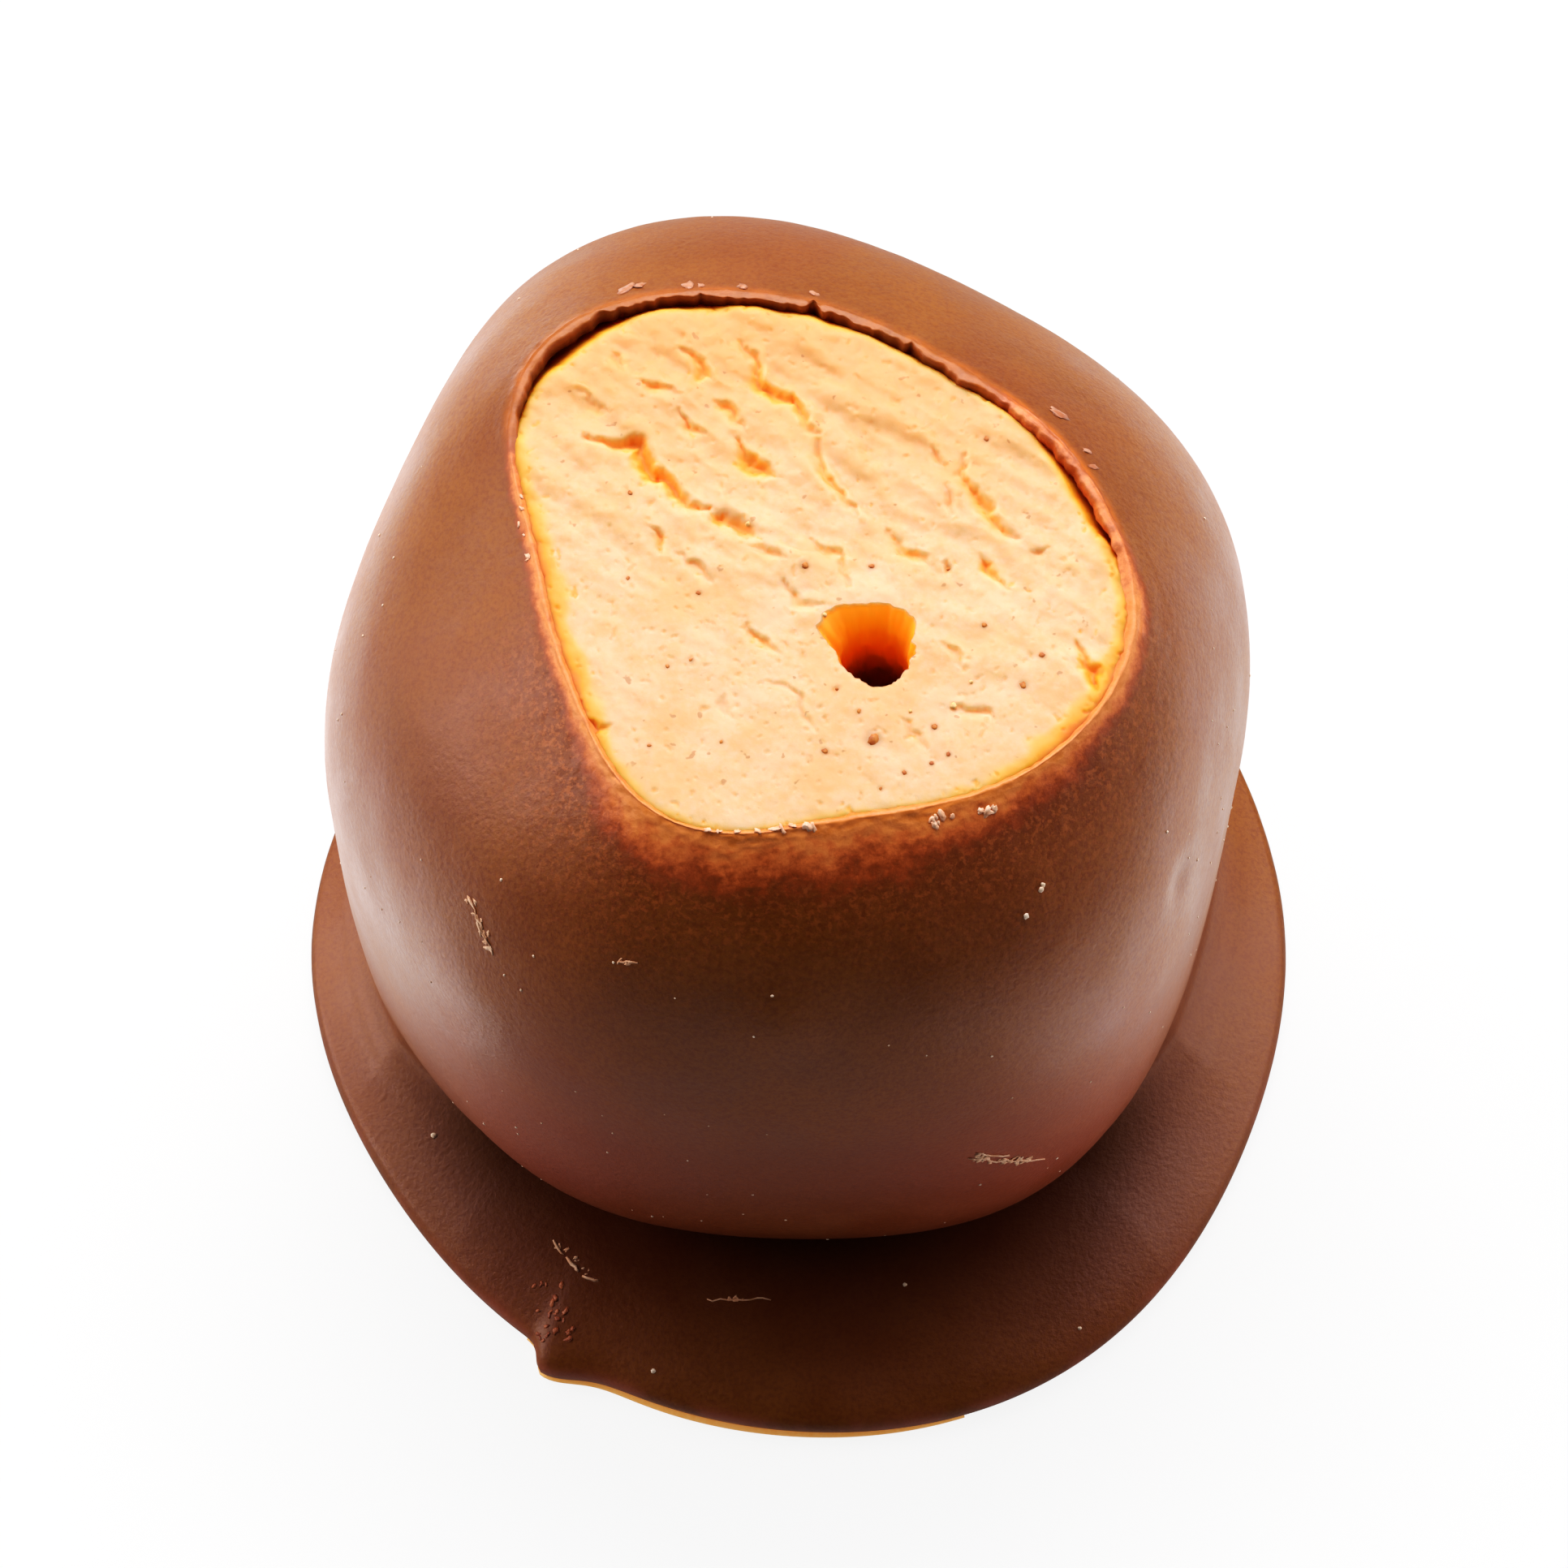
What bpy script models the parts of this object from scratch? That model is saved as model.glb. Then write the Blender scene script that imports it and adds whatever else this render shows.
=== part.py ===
"""Peanut butter buckeye: a soft ball of peanut butter dipped in milk chocolate.

Two pieces. The chocolate coat wraps the ball up to an open window on top and ends below in a
thin foot, the pool that set round the ball. The peanut butter filling is the ball itself: it
shows in the window as a crumbly, nearly level top with cracks, a pit and the round hole left
by the dipping stick. Units are metres, +Z is up and the candy's front is towards -Y.
The origin is on the table, under the middle of the foot's outline.
"""

import math

import bmesh
import bpy
from mathutils import Vector

MM = 0.001

# Outlines seen from above, as radii in millimetres at even steps, anticlockwise from +X
WAIST_RADII = (14.25, 14.95, 14.75, 16.05, 16.4, 14.35, 14.65, 14.75, 15.15, 14.75, 15.35, 14.25)
FOOT_RADII = (16.2, 16.3, 17.1, 17.25, 17.05, 16.2, 16.45, 16.35, 17.0, 17.65, 17.7, 16.55)
WINDOW_RADII = (9.35, 8.5, 7.9, 7.95, 8.7, 9.75, 10.5, 9.3, 7.8, 7.75, 8.55, 9.55, 8.95, 9.0, 9.7, 9.95)

# Centres of the outlines, measured from the ball's own axis
FOOT_CENTRE = (0.33, -0.92)
WINDOW_CENTRE = (0.28, -0.24)

# Heights above the table
WAIST_HEIGHT = 13.5
WINDOW_HEIGHT = 24.7
NECK_HEIGHT = 2.2
FOOT_TOP_HEIGHT = 1.45
FOOT_EDGE_HEIGHT = 0.6
CAVITY_FLOOR = 1.6

# How the sides curve, at four directions: right, back, left and front
SHOULDER_FULLNESS = (0.575, 0.63, 0.615, 0.6)
SHOULDER_FLATNESS = 0.92
RIM_SLOPE = 0.343
NECK_SHARE = (0.135, 0.165, 0.16, 0.22)
FLANK_STRAIGHT = 0.64
TUCK_SHARE = 0.31
TUCK_RISE = 0.075

# The coat's thickness
WALL = 1.1
LIP_THICKNESS = (0.6, 0.9, 0.5, 0.45)
LIP_BLEND = 0.35
LIP_BULGE = 0.66
CAVITY_ROUNDNESS = 0.65

# The foot: its cove under the ball, its rounded edge and the burr at the front left
COVE_REACH = 0.45
COVE_HOLLOW = 0.35
COVE_DROP = 0.15
FOOT_FLATNESS = 0.6
EDGE_RISE = 0.75
EDGE_ROUND = 0.45
EDGE_CORNER = 0.15
BURR_ANGLE = 241.5
BURR_WIDTHS = (2.2, 5.0)
BURR_REACH = 0.65

# The filling's top
FIT_GAP = 0.3
DOME_HEIGHT = 0.6
HOLE_PLACE = (2.4, -3.3)
HOLE_RADIUS = 1.15
HOLE_MOUTH_RADIUS = 1.3
HOLE_MOUTH_DEPTH = 0.9
HOLE_DEPTH = 11.0
CUTTER_CLEARANCE = 0.3
CRACK_END = 0.35

# Chips round the hole and the deep pit: place, radii along x, y and z, and turn in degrees
CHIPS = (
    {"place": (1.2, -3.0), "radii": (0.75, 0.85, 0.55), "turn": 0.0},
    {"place": (1.8, -1.95), "radii": (0.38, 0.35, 0.5), "turn": 0.0},
    {"place": (-1.6, 0.65), "radii": (0.72, 0.34, 0.8), "turn": -28.0},
)

# Cracks in the filling: width, depth and the way across the top
CRACKS = (
    (0.42, 0.5, ((-6.1, 3.9), (-5.6, 3.7), (-4.7, 3.6), (-4.2, 2.6), (-3.5, 1.8), (-2.6, 1.3))),
    (0.34, 0.35, ((-4.6, 5.9), (-4.2, 5.7), (-3.6, 5.4))),
    (0.34, 0.35, ((-3.3, 7.0), (-2.8, 6.7), (-2.5, 5.9))),
    (0.34, 0.35, ((-2.2, 5.1), (-1.9, 4.9), (-1.5, 4.2))),
    (0.38, 0.45, ((-1.7, 3.7), (-1.2, 2.9), (-0.6, 2.5))),
    (0.36, 0.4, ((-1.5, 7.0), (-1.2, 6.6), (-1.0, 5.9), (-0.5, 5.4), (0.1, 5.1), (0.8, 4.0))),
    (0.3, 0.3, ((0.7, 3.7), (0.8, 2.9), (1.5, 1.8), (1.9, 1.1))),
    (0.36, 0.4, ((5.2, 3.1), (5.0, 2.5), (5.7, 1.5), (6.6, 0.4))),
    (0.34, 0.35, ((5.6, -0.3), (5.8, -0.7), (6.3, -1.3))),
    (0.34, 0.35, ((2.9, 0.5), (3.3, -0.1), (4.7, -0.8))),
    (0.3, 0.3, ((-1.4, -2.7), (-1.1, -3.1), (-0.4, -3.7))),
    (0.32, 0.35, ((8.0, -3.2), (8.2, -3.9), (8.3, -4.5))),
)

# Fineness of the meshes
SEGMENTS = 72
SHOULDER_STEPS = 9
FLANK_STEPS = 6
COVE_STEPS = 4
FOOT_STEPS = 4
EDGE_STEPS = 3
LIP_STEPS = 3
CAVITY_STEPS = 5
TOP_RINGS = 12
HOLE_SIDES = 24
CHIP_SIDES = 14
CHIP_RINGS = 8


def clear_scene():
    for old in list(bpy.data.objects):
        bpy.data.objects.remove(old, do_unlink=True)


def smooth_ring(values, angle):
    """Value at an angle on the smooth closed curve through evenly spaced values."""
    count = len(values)
    step = math.tau / count
    total = sum(values) / count
    for wave in range(1, count // 2 + 1):
        share = (1 if 2 * wave == count else 2) / count
        cosine = sum(v * math.cos(wave * i * step) for i, v in enumerate(values))
        sine = sum(v * math.sin(wave * i * step) for i, v in enumerate(values))
        total += share * (cosine * math.cos(wave * angle) + sine * math.sin(wave * angle))
    return total


def bezier(a, b, c, d, t):
    s = 1.0 - t
    return a * s**3 + b * 3 * s * s * t + c * 3 * s * t * t + d * t**3


def ease(t):
    t = min(max(t, 0.0), 1.0)
    return t * t * (3 - 2 * t)


def on_circle(centre, radius, angle, height):
    x = centre[0] + radius * math.cos(angle)
    y = centre[1] + radius * math.sin(angle)
    return Vector((x, y, height))


def waist_point(angle):
    return on_circle((0, 0), smooth_ring(WAIST_RADII, angle), angle, WAIST_HEIGHT)


def window_point(angle):
    """Outer edge of the lip, half a lip's thickness outside the window."""
    radius = smooth_ring(WINDOW_RADII, angle) + smooth_ring(LIP_THICKNESS, angle) / 2
    return on_circle(WINDOW_CENTRE, radius, angle, WINDOW_HEIGHT)


def foot_point(angle):
    off = (math.degrees(angle) - BURR_ANGLE + 180) % 360 - 180
    width = BURR_WIDTHS[0] if off < 0 else BURR_WIDTHS[1]
    burr = BURR_REACH * math.exp(-((off / width) ** 2))
    radius = smooth_ring(FOOT_RADII, angle) + burr
    return on_circle(FOOT_CENTRE, radius, angle, FOOT_EDGE_HEIGHT)


def shoulder_curve(angle, t):
    """The coat's outer side from the window's edge, t = 0, down to the waist, t = 1."""
    waist = waist_point(angle)
    rim = window_point(angle)
    rise = rim.z - waist.z
    full = smooth_ring(SHOULDER_FULLNESS, angle)
    flat = full * SHOULDER_FLATNESS
    upper = rim.lerp(waist, flat)
    upper.z = rim.z - RIM_SLOPE * flat * rise
    lower = waist + Vector((0, 0, full * rise))
    return bezier(rim, upper, lower, waist, t)


def neck_point(angle):
    """Where the ball's side ends under the overhang, just above the foot."""
    neck = waist_point(angle) * (1 - smooth_ring(NECK_SHARE, angle))
    neck.z = NECK_HEIGHT
    return neck


def flank_curve(angle, t):
    """The side from the waist, t = 0, rounding in under the ball to the neck, t = 1."""
    waist = waist_point(angle)
    drop = WAIST_HEIGHT - NECK_HEIGHT
    upper = Vector((waist.x, waist.y, waist.z - FLANK_STRAIGHT * drop))
    lower = waist * (1 - TUCK_SHARE * smooth_ring(NECK_SHARE, angle))
    lower.z = NECK_HEIGHT + TUCK_RISE * drop
    return bezier(waist, upper, lower, neck_point(angle), t)


def foot_frame(angle):
    """The neck point, the foot's edge point, the way outwards between them and its length."""
    neck = neck_point(angle)
    edge = foot_point(angle)
    across = Vector((edge.x - neck.x, edge.y - neck.y, 0))
    return neck, edge, across.normalized(), across.length


def cove_curve(angle, t):
    """The hollow under the overhang, from the neck round to the foot's upper face."""
    neck, _, out, _ = foot_frame(angle)
    inner = neck - out * COVE_HOLLOW
    upper = inner - Vector((0, 0, COVE_DROP))
    lower = inner.copy()
    lower.z = FOOT_TOP_HEIGHT
    end = neck + out * COVE_REACH
    end.z = FOOT_TOP_HEIGHT
    return bezier(neck, upper, lower, end, t)


def foot_curve(angle, t):
    """The foot's upper face and its rounded edge, out to its furthest line."""
    neck, edge, out, reach = foot_frame(angle)
    start = neck + out * COVE_REACH
    start.z = FOOT_TOP_HEIGHT
    middle = neck + out * (COVE_REACH + FOOT_FLATNESS * (reach - COVE_REACH))
    middle.z = FOOT_TOP_HEIGHT
    above = edge + Vector((0, 0, EDGE_RISE))
    return bezier(start, middle, above, edge, t)


def edge_curve(angle, t):
    """From the foot's furthest line round to its flat underside."""
    _, edge, out, _ = foot_frame(angle)
    below = Vector((edge.x, edge.y, EDGE_CORNER))
    corner = edge - out * EDGE_CORNER
    corner.z = 0.0
    end = edge - out * EDGE_ROUND
    end.z = 0.0
    return bezier(edge, below, corner, end, t)


def wall_at(angle, t):
    """The coat's thickness along the shoulder: thin at the lip, full further down."""
    lip = smooth_ring(LIP_THICKNESS, angle)
    return lip + (WALL - lip) * ease(t / LIP_BLEND)


def inset_shoulder(angle, t, gap):
    """A shoulder point moved in, square to the surface, by the wall and a gap."""
    step = 0.01
    along = shoulder_curve(angle, min(t + step, 1)) - shoulder_curve(angle, max(t - step, 0))
    out = Vector((math.cos(angle), math.sin(angle), 0))
    inward = out * along.z + Vector((0, 0, -along.dot(out)))
    return shoulder_curve(angle, t) + inward.normalized() * (wall_at(angle, t) + gap)


def cavity_curve(angle, t, gap):
    """The hollow's rounded lower half, from its waist, t = 0, to its floor's middle, t = 1."""
    start = inset_shoulder(angle, 1.0, gap)
    turn = t * math.pi / 2
    share = math.cos(turn) ** CAVITY_ROUNDNESS
    floor = CAVITY_FLOOR + gap
    return Vector((start.x * share, start.y * share, start.z - (start.z - floor) * math.sin(turn)))


def lip_curve(angle, t):
    """The rounded lip, from the outer edge of the window to the inner one."""
    outer = shoulder_curve(angle, 0)
    inner = inset_shoulder(angle, 0, 0)
    along = (shoulder_curve(angle, 0) - shoulder_curve(angle, 0.02)).normalized()
    bulge = along * (smooth_ring(LIP_THICKNESS, angle) * LIP_BULGE)
    return bezier(outer, outer + bulge, inner + bulge, inner, t)


def ring(curve, t, *extra):
    turns = [math.tau * i / SEGMENTS for i in range(SEGMENTS)]
    return [curve(angle, t, *extra) for angle in turns]


def origin_shift():
    """Middle of the foot's outline, which goes to the origin."""
    edge = ring(lambda angle, t: foot_point(angle), 0)
    x = [p.x for p in edge]
    y = [p.y for p in edge]
    return Vector(((min(x) + max(x)) / 2, (min(y) + max(y)) / 2, 0))


def lathe_mesh(name, first, rings, last):
    """A closed mesh from rings of points, with a single point at each end."""
    shift = origin_shift()
    mesh = bmesh.new()
    start = mesh.verts.new((first - shift) * MM)
    rows = [[mesh.verts.new((p - shift) * MM) for p in row] for row in rings]
    end = mesh.verts.new((last - shift) * MM)
    count = len(rings[0])
    for i in range(count):
        j = (i + 1) % count
        mesh.faces.new((start, rows[0][j], rows[0][i]))
        mesh.faces.new((end, rows[-1][i], rows[-1][j]))
        for low, high in zip(rows, rows[1:]):
            mesh.faces.new((low[i], low[j], high[j], high[i]))
    bmesh.ops.recalc_face_normals(mesh, faces=mesh.faces)
    data = bpy.data.meshes.new(name)
    mesh.to_mesh(data)
    mesh.free()
    return data


def make_material(name, colour, roughness, coat):
    material = bpy.data.materials.new(name)
    material.use_nodes = True
    shader = material.node_tree.nodes["Principled BSDF"]
    shader.inputs["Base Color"].default_value = (*colour, 1)
    shader.inputs["Roughness"].default_value = roughness
    shader.inputs["Metallic"].default_value = 0.0
    shader.inputs["Coat Weight"].default_value = coat
    return material


def add_object(name, data, material):
    piece = bpy.data.objects.new(name, data)
    bpy.context.scene.collection.objects.link(piece)
    if material:
        data.materials.append(material)
    data.shade_smooth()
    data.set_sharp_from_angle(angle=math.radians(40))
    return piece


def make_coat():
    """Foot, side, lip and hollow, as one closed skin from the underside to the hollow's floor."""
    rings = [ring(edge_curve, 1 - i / EDGE_STEPS) for i in range(EDGE_STEPS)]
    rings += [ring(foot_curve, 1 - i / FOOT_STEPS) for i in range(FOOT_STEPS)]
    rings += [ring(cove_curve, 1 - i / COVE_STEPS) for i in range(COVE_STEPS)]
    rings += [ring(flank_curve, 1 - i / FLANK_STEPS) for i in range(FLANK_STEPS)]
    rings += [ring(shoulder_curve, 1 - i / SHOULDER_STEPS) for i in range(SHOULDER_STEPS)]
    rings += [ring(lip_curve, i / LIP_STEPS) for i in range(LIP_STEPS)]
    rings += [ring(inset_shoulder, i / CAVITY_STEPS, 0) for i in range(CAVITY_STEPS)]
    rings += [ring(cavity_curve, i / CAVITY_STEPS, 0) for i in range(CAVITY_STEPS)]
    data = lathe_mesh("chocolate_coat", Vector((0, 0, 0)), rings, Vector((0, 0, CAVITY_FLOOR)))
    chocolate = make_material("milk_chocolate", (0.13, 0.045, 0.02), 0.35, 0.2)
    return add_object("chocolate_coat", data, chocolate)


def top_height(x, y):
    """Height of the filling's top, a low dome over the window."""
    away = Vector((x - WINDOW_CENTRE[0], y - WINDOW_CENTRE[1]))
    angle = math.atan2(away.y, away.x)
    edge = inset_shoulder(angle, 0, FIT_GAP)
    share = away.length / Vector((edge.x - WINDOW_CENTRE[0], edge.y - WINDOW_CENTRE[1])).length
    return edge.z + DOME_HEIGHT * (1 - min(share, 1) ** 2)


def top_ring(share):
    """One ring of the filling's top, at a share of the way out from the window's middle."""
    points = []
    for edge in ring(inset_shoulder, 0, FIT_GAP):
        x = WINDOW_CENTRE[0] + share * (edge.x - WINDOW_CENTRE[0])
        y = WINDOW_CENTRE[1] + share * (edge.y - WINDOW_CENTRE[1])
        points.append(Vector((x, y, edge.z + DOME_HEIGHT * (1 - share**2))))
    return points


def add_cutter(name, data, cutters):
    cutter = bpy.data.objects.new(name, data)
    cutters.objects.link(cutter)
    cutter.hide_render = True
    cutter.display_type = "WIRE"


def hole_cutter():
    """The stick's hole: a wider mouth, a straight bore and a blunt end."""
    x, y = HOLE_PLACE
    top = top_height(x, y)
    profile = (
        (HOLE_MOUTH_RADIUS, CUTTER_CLEARANCE),
        (HOLE_MOUTH_RADIUS, 0.0),
        (HOLE_RADIUS, -HOLE_MOUTH_DEPTH),
        (HOLE_RADIUS, HOLE_RADIUS / 2 - HOLE_DEPTH),
        (HOLE_RADIUS / 2, -HOLE_DEPTH),
    )
    turns = [math.tau * i / HOLE_SIDES for i in range(HOLE_SIDES)]
    rings = [[on_circle((x, y), r, a, top + z) for a in turns] for r, z in profile]
    above = Vector((x, y, top + CUTTER_CLEARANCE))
    below = Vector((x, y, top - HOLE_DEPTH))
    return lathe_mesh("hole_cutter", above, rings, below)


def chip_cutter(place, radii, turn):
    """An egg-shaped cutter, half sunk in the top."""
    x, y = place
    top = top_height(x, y)
    spin = math.radians(turn)

    def egg_point(lift, angle):
        across = math.cos(lift)
        u = radii[0] * across * math.cos(angle)
        v = radii[1] * across * math.sin(angle)
        px = x + u * math.cos(spin) - v * math.sin(spin)
        py = y + u * math.sin(spin) + v * math.cos(spin)
        return Vector((px, py, top + radii[2] * math.sin(lift)))

    lifts = [math.pi * (0.5 - i / CHIP_RINGS) for i in range(1, CHIP_RINGS)]
    turns = [math.tau * i / CHIP_SIDES for i in range(CHIP_SIDES)]
    rings = [[egg_point(lift, angle) for angle in turns] for lift in lifts]
    return lathe_mesh("chip_cutter", egg_point(math.pi / 2, 0), rings, egg_point(-math.pi / 2, 0))


def crack_cutter(width, depth, route):
    """A wedge along a route over the top, narrower and shallower at both ends."""
    rows = []
    last = len(route) - 1
    for i, (x, y) in enumerate(route):
        before = route[max(i - 1, 0)]
        after = route[min(i + 1, last)]
        along = Vector((after[0] - before[0], after[1] - before[1])).normalized()
        swell = CRACK_END + (1 - CRACK_END) * math.sin(math.pi * (i + 0.5) / (last + 1))
        half = width * (depth * swell + CUTTER_CLEARANCE) / depth / 2
        side = Vector((-along.y, along.x)) * half
        top = top_height(x, y)
        above = top + CUTTER_CLEARANCE
        rows.append((
            Vector((x + side.x, y + side.y, above)),
            Vector((x - side.x, y - side.y, above)),
            Vector((x, y, top - depth * swell)),
        ))
    first = sum(rows[0], Vector()) / 3
    end = sum(rows[-1], Vector()) / 3
    return lathe_mesh("crack_cutter", first, rows, end)


def make_filling():
    """The ball: its low dome of a top, then down the side to its flat underneath."""
    middle = Vector((*WINDOW_CENTRE, top_height(*WINDOW_CENTRE)))
    rings = [top_ring(i / TOP_RINGS) for i in range(1, TOP_RINGS)]
    rings += [ring(inset_shoulder, i / CAVITY_STEPS, FIT_GAP) for i in range(CAVITY_STEPS)]
    rings += [ring(cavity_curve, i / CAVITY_STEPS, FIT_GAP) for i in range(CAVITY_STEPS)]
    base = Vector((0, 0, CAVITY_FLOOR + FIT_GAP))
    data = lathe_mesh("peanut_butter_filling", middle, rings, base)
    cream = make_material("peanut_butter", (0.86, 0.6, 0.33), 0.7, 0.0)
    filling = add_object("peanut_butter_filling", data, cream)

    cutters = bpy.data.collections.new("filling_cutters")
    bpy.context.scene.collection.children.link(cutters)
    add_cutter("hole_cutter", hole_cutter(), cutters)
    for i, chip in enumerate(CHIPS):
        add_cutter(f"chip_cutter_{i + 1}", chip_cutter(**chip), cutters)
    for i, (width, depth, route) in enumerate(CRACKS):
        add_cutter(f"crack_cutter_{i + 1}", crack_cutter(width, depth, route), cutters)

    cut = filling.modifiers.new("cuts", "BOOLEAN")
    cut.operation = "DIFFERENCE"
    cut.operand_type = "COLLECTION"
    cut.collection = cutters
    cut.solver = "EXACT"
    return filling


def build():
    clear_scene()
    make_coat()
    make_filling()


build()
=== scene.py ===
# Peanut butter buckeye: milk chocolate coat, peanut butter filling, crumbs, flakes and a thin amber crescent
# on the table under the foot.
# Sizes are in millimetres from the ball's own axis. toFrame() turns them into metres on the frame.
import math
import random

import bpy
import numpy as np
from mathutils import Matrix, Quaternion, Vector, geometry, noise
from mathutils.bvhtree import BVHTree


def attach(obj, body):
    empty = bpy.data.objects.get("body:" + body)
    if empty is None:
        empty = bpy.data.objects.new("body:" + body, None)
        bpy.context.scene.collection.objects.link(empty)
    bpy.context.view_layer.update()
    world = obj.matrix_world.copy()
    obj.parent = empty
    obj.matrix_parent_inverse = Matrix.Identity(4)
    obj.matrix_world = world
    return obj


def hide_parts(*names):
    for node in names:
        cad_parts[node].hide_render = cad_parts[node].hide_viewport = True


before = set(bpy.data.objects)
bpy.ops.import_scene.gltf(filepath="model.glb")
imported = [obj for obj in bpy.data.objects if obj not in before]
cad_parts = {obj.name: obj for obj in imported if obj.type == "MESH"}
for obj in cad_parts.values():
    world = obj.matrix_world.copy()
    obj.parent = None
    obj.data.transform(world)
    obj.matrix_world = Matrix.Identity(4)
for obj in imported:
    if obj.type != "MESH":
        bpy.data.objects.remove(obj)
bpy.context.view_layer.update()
scene = bpy.context.scene
tau = math.tau

# the ball's outlines from above: radii at even steps, anticlockwise from the right
ball = {
    "waistRadii": (14.25, 14.95, 14.75, 16.05, 16.4, 14.35, 14.65, 14.75, 15.15, 14.75, 15.35, 14.25),
    "waistHeight": 13.5,
    "shoulderFullness": (0.575, 0.63, 0.615, 0.6),  # right, back, left, front
    "shoulderFlatness": 0.92,
    "rimSlope": 0.343,
    "neckShare": (0.135, 0.165, 0.16, 0.22),
    "neckHeight": 2.2,
    "sideFill": 0.62,
    # how far the side fillets fill the neck up, by angle
    "softSides": (
        (0, 1), (40, 0.8), (140, 0.8), (180, 1), (203, 0.9), (226, 0), (314, 0), (337, 0.9), (360, 1),
    ),
    "flankStraight": 0.64,
    "tuckShare": 0.31,
    "tuckRise": 0.075,
    "wall": 1.1,
    "hollowFloor": 1.6,
    "hollowRoundness": 0.65,
}
foot = {
    "radii": (16.2, 16.3, 17.1, 17.25, 17.05, 16.2, 16.45, 16.35, 17.0, 17.65, 17.7, 16.55),
    "centre": (0.33, -0.92),
    "topHeight": 1.45,
    "edgeHeight": 0.6,
    "coveReach": 0.45,
    "coveHollow": 0.35,
    "coveDrop": 0.15,
    "flatness": 0.6,
    "edgeRise": 0.75,
    "edgeRound": 0.45,
    "edgeCorner": 0.15,
    "burrAngle": 241.5,
    "burrWidths": (1.5, 4.4),
    "burrReach": 0.72,
}
window = {
    "radii": (9.35, 8.5, 7.9, 7.95, 8.7, 9.75, 10.5, 9.3, 7.8, 7.75, 8.55, 9.55, 8.95, 9.0, 9.7, 9.95),
    "centre": (0.28, -0.24),
    "height": 24.7,
    "lip": (0.5, 0.66, 0.42, 0.4),
    # where the lip is thin and orange, by angle
    "thinLip": ((0, 1), (38, 1), (58, 0.2), (70, 0), (140, 0), (155, 0.6), (170, 1), (360, 1)),
    # how crisp the lip is, and how far the filling stands off it, by angle
    "crisp": ((0, 0.55), (8, 1), (150, 1), (160, 0.25), (170, 0), (350, 0), (360, 0.55)),
    "gap": (
        (0, 0.15), (6, 0.32), (16, 0.34), (24, 0.2), (32, 0.08), (60, 0.09), (78, 0.14), (84, 0.22),
        (88, 0.14), (104, 0.18), (122, 0.22), (130, 0.42), (137, 0.46), (143, 0.2), (152, 0.06), (160, 0),
        (350, 0), (360, 0.15),
    ),
    # how many millimetres the filling's colour glows through the thin chocolate, by angle
    "glow": (
        (0, 0.8), (12, 0.3), (60, 0.2), (140, 0.2), (155, 0.4), (180, 0.5), (215, 0.6), (228, 1.1),
        (242, 2.4), (262, 2.6), (285, 2.6), (305, 1.7), (330, 0.9), (345, 0.9), (360, 0.8),
    ),
}


def wave(values, angles):
    # smooth closed curve through evenly spaced values
    count = len(values)
    values = np.asarray(values, float)
    total = np.full(angles.shape, values.mean())
    for turn in range(1, count // 2 + 1):
        share = (1 if 2 * turn == count else 2) / count
        steps = turn * np.arange(count) * tau / count
        total += share * (values @ np.cos(steps)) * np.cos(turn * angles)
        total += share * (values @ np.sin(steps)) * np.sin(turn * angles)
    return total


def byAngle(keys, angles):
    degrees = np.degrees(angles) % 360
    return np.interp(degrees, [k[0] for k in keys], [k[1] for k in keys])


def ease(t):
    t = np.clip(t, 0, 1)
    return t * t * (3 - 2 * t)


def bezier(a, b, c, d, t):
    s = 1 - t
    return a * s**3 + b * 3 * s * s * t + c * 3 * s * t * t + d * t**3


def around(centre, radii, angles, height):
    x = centre[0] + radii * np.cos(angles)
    y = centre[1] + radii * np.sin(angles)
    return np.stack((x, y, np.broadcast_to(height, x.shape)), axis=-1).astype(float)


def lifted(points, height):
    points = points.copy()
    points[..., 2] = height
    return points


def unit(vectors):
    return vectors / np.maximum(np.linalg.norm(vectors, axis=-1, keepdims=True), 1e-9)


def outward(angles):
    return np.stack((np.cos(angles), np.sin(angles), np.zeros_like(angles)), axis=-1)


def evenAngles(count):
    return np.arange(count) * tau / count


def waistLine(angles):
    return around((0, 0), wave(ball["waistRadii"], angles), angles, ball["waistHeight"])


def rimLine(angles):
    radii = wave(window["radii"], angles) + wave(window["lip"], angles) / 2
    return around(window["centre"], radii, angles, window["height"])


def footLine(angles):
    off = (np.degrees(angles) - foot["burrAngle"] + 180) % 360 - 180
    width = np.where(off < 0, foot["burrWidths"][0], foot["burrWidths"][1])
    radii = wave(foot["radii"], angles) + foot["burrReach"] * np.exp(-((off / width) ** 2))
    return around(foot["centre"], radii, angles, foot["edgeHeight"])


def shoulder(angles, t):
    # outer side from the window's edge, t = 0, down to the waist, t = 1
    waist = waistLine(angles)
    rim = rimLine(angles)
    rise = window["height"] - ball["waistHeight"]
    full = wave(ball["shoulderFullness"], angles)[:, None]
    flat = full * ball["shoulderFlatness"]
    upper = rim + (waist - rim) * flat
    upper[:, 2] = window["height"] - ball["rimSlope"] * flat[:, 0] * rise
    lower = waist.copy()
    lower[:, 2] += full[:, 0] * rise
    return bezier(rim, upper, lower, waist, t)


def neckInset(angles):
    # how far the neck stays inside the waist: full in front, nearly filled up by the side fillets
    filled = ball["sideFill"] * byAngle(ball["softSides"], angles)
    return (wave(ball["neckShare"], angles) * (1 - filled))[:, None]


def neckLine(angles):
    share = neckInset(angles)
    return lifted(waistLine(angles) * (1 - share), ball["neckHeight"])


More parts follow.
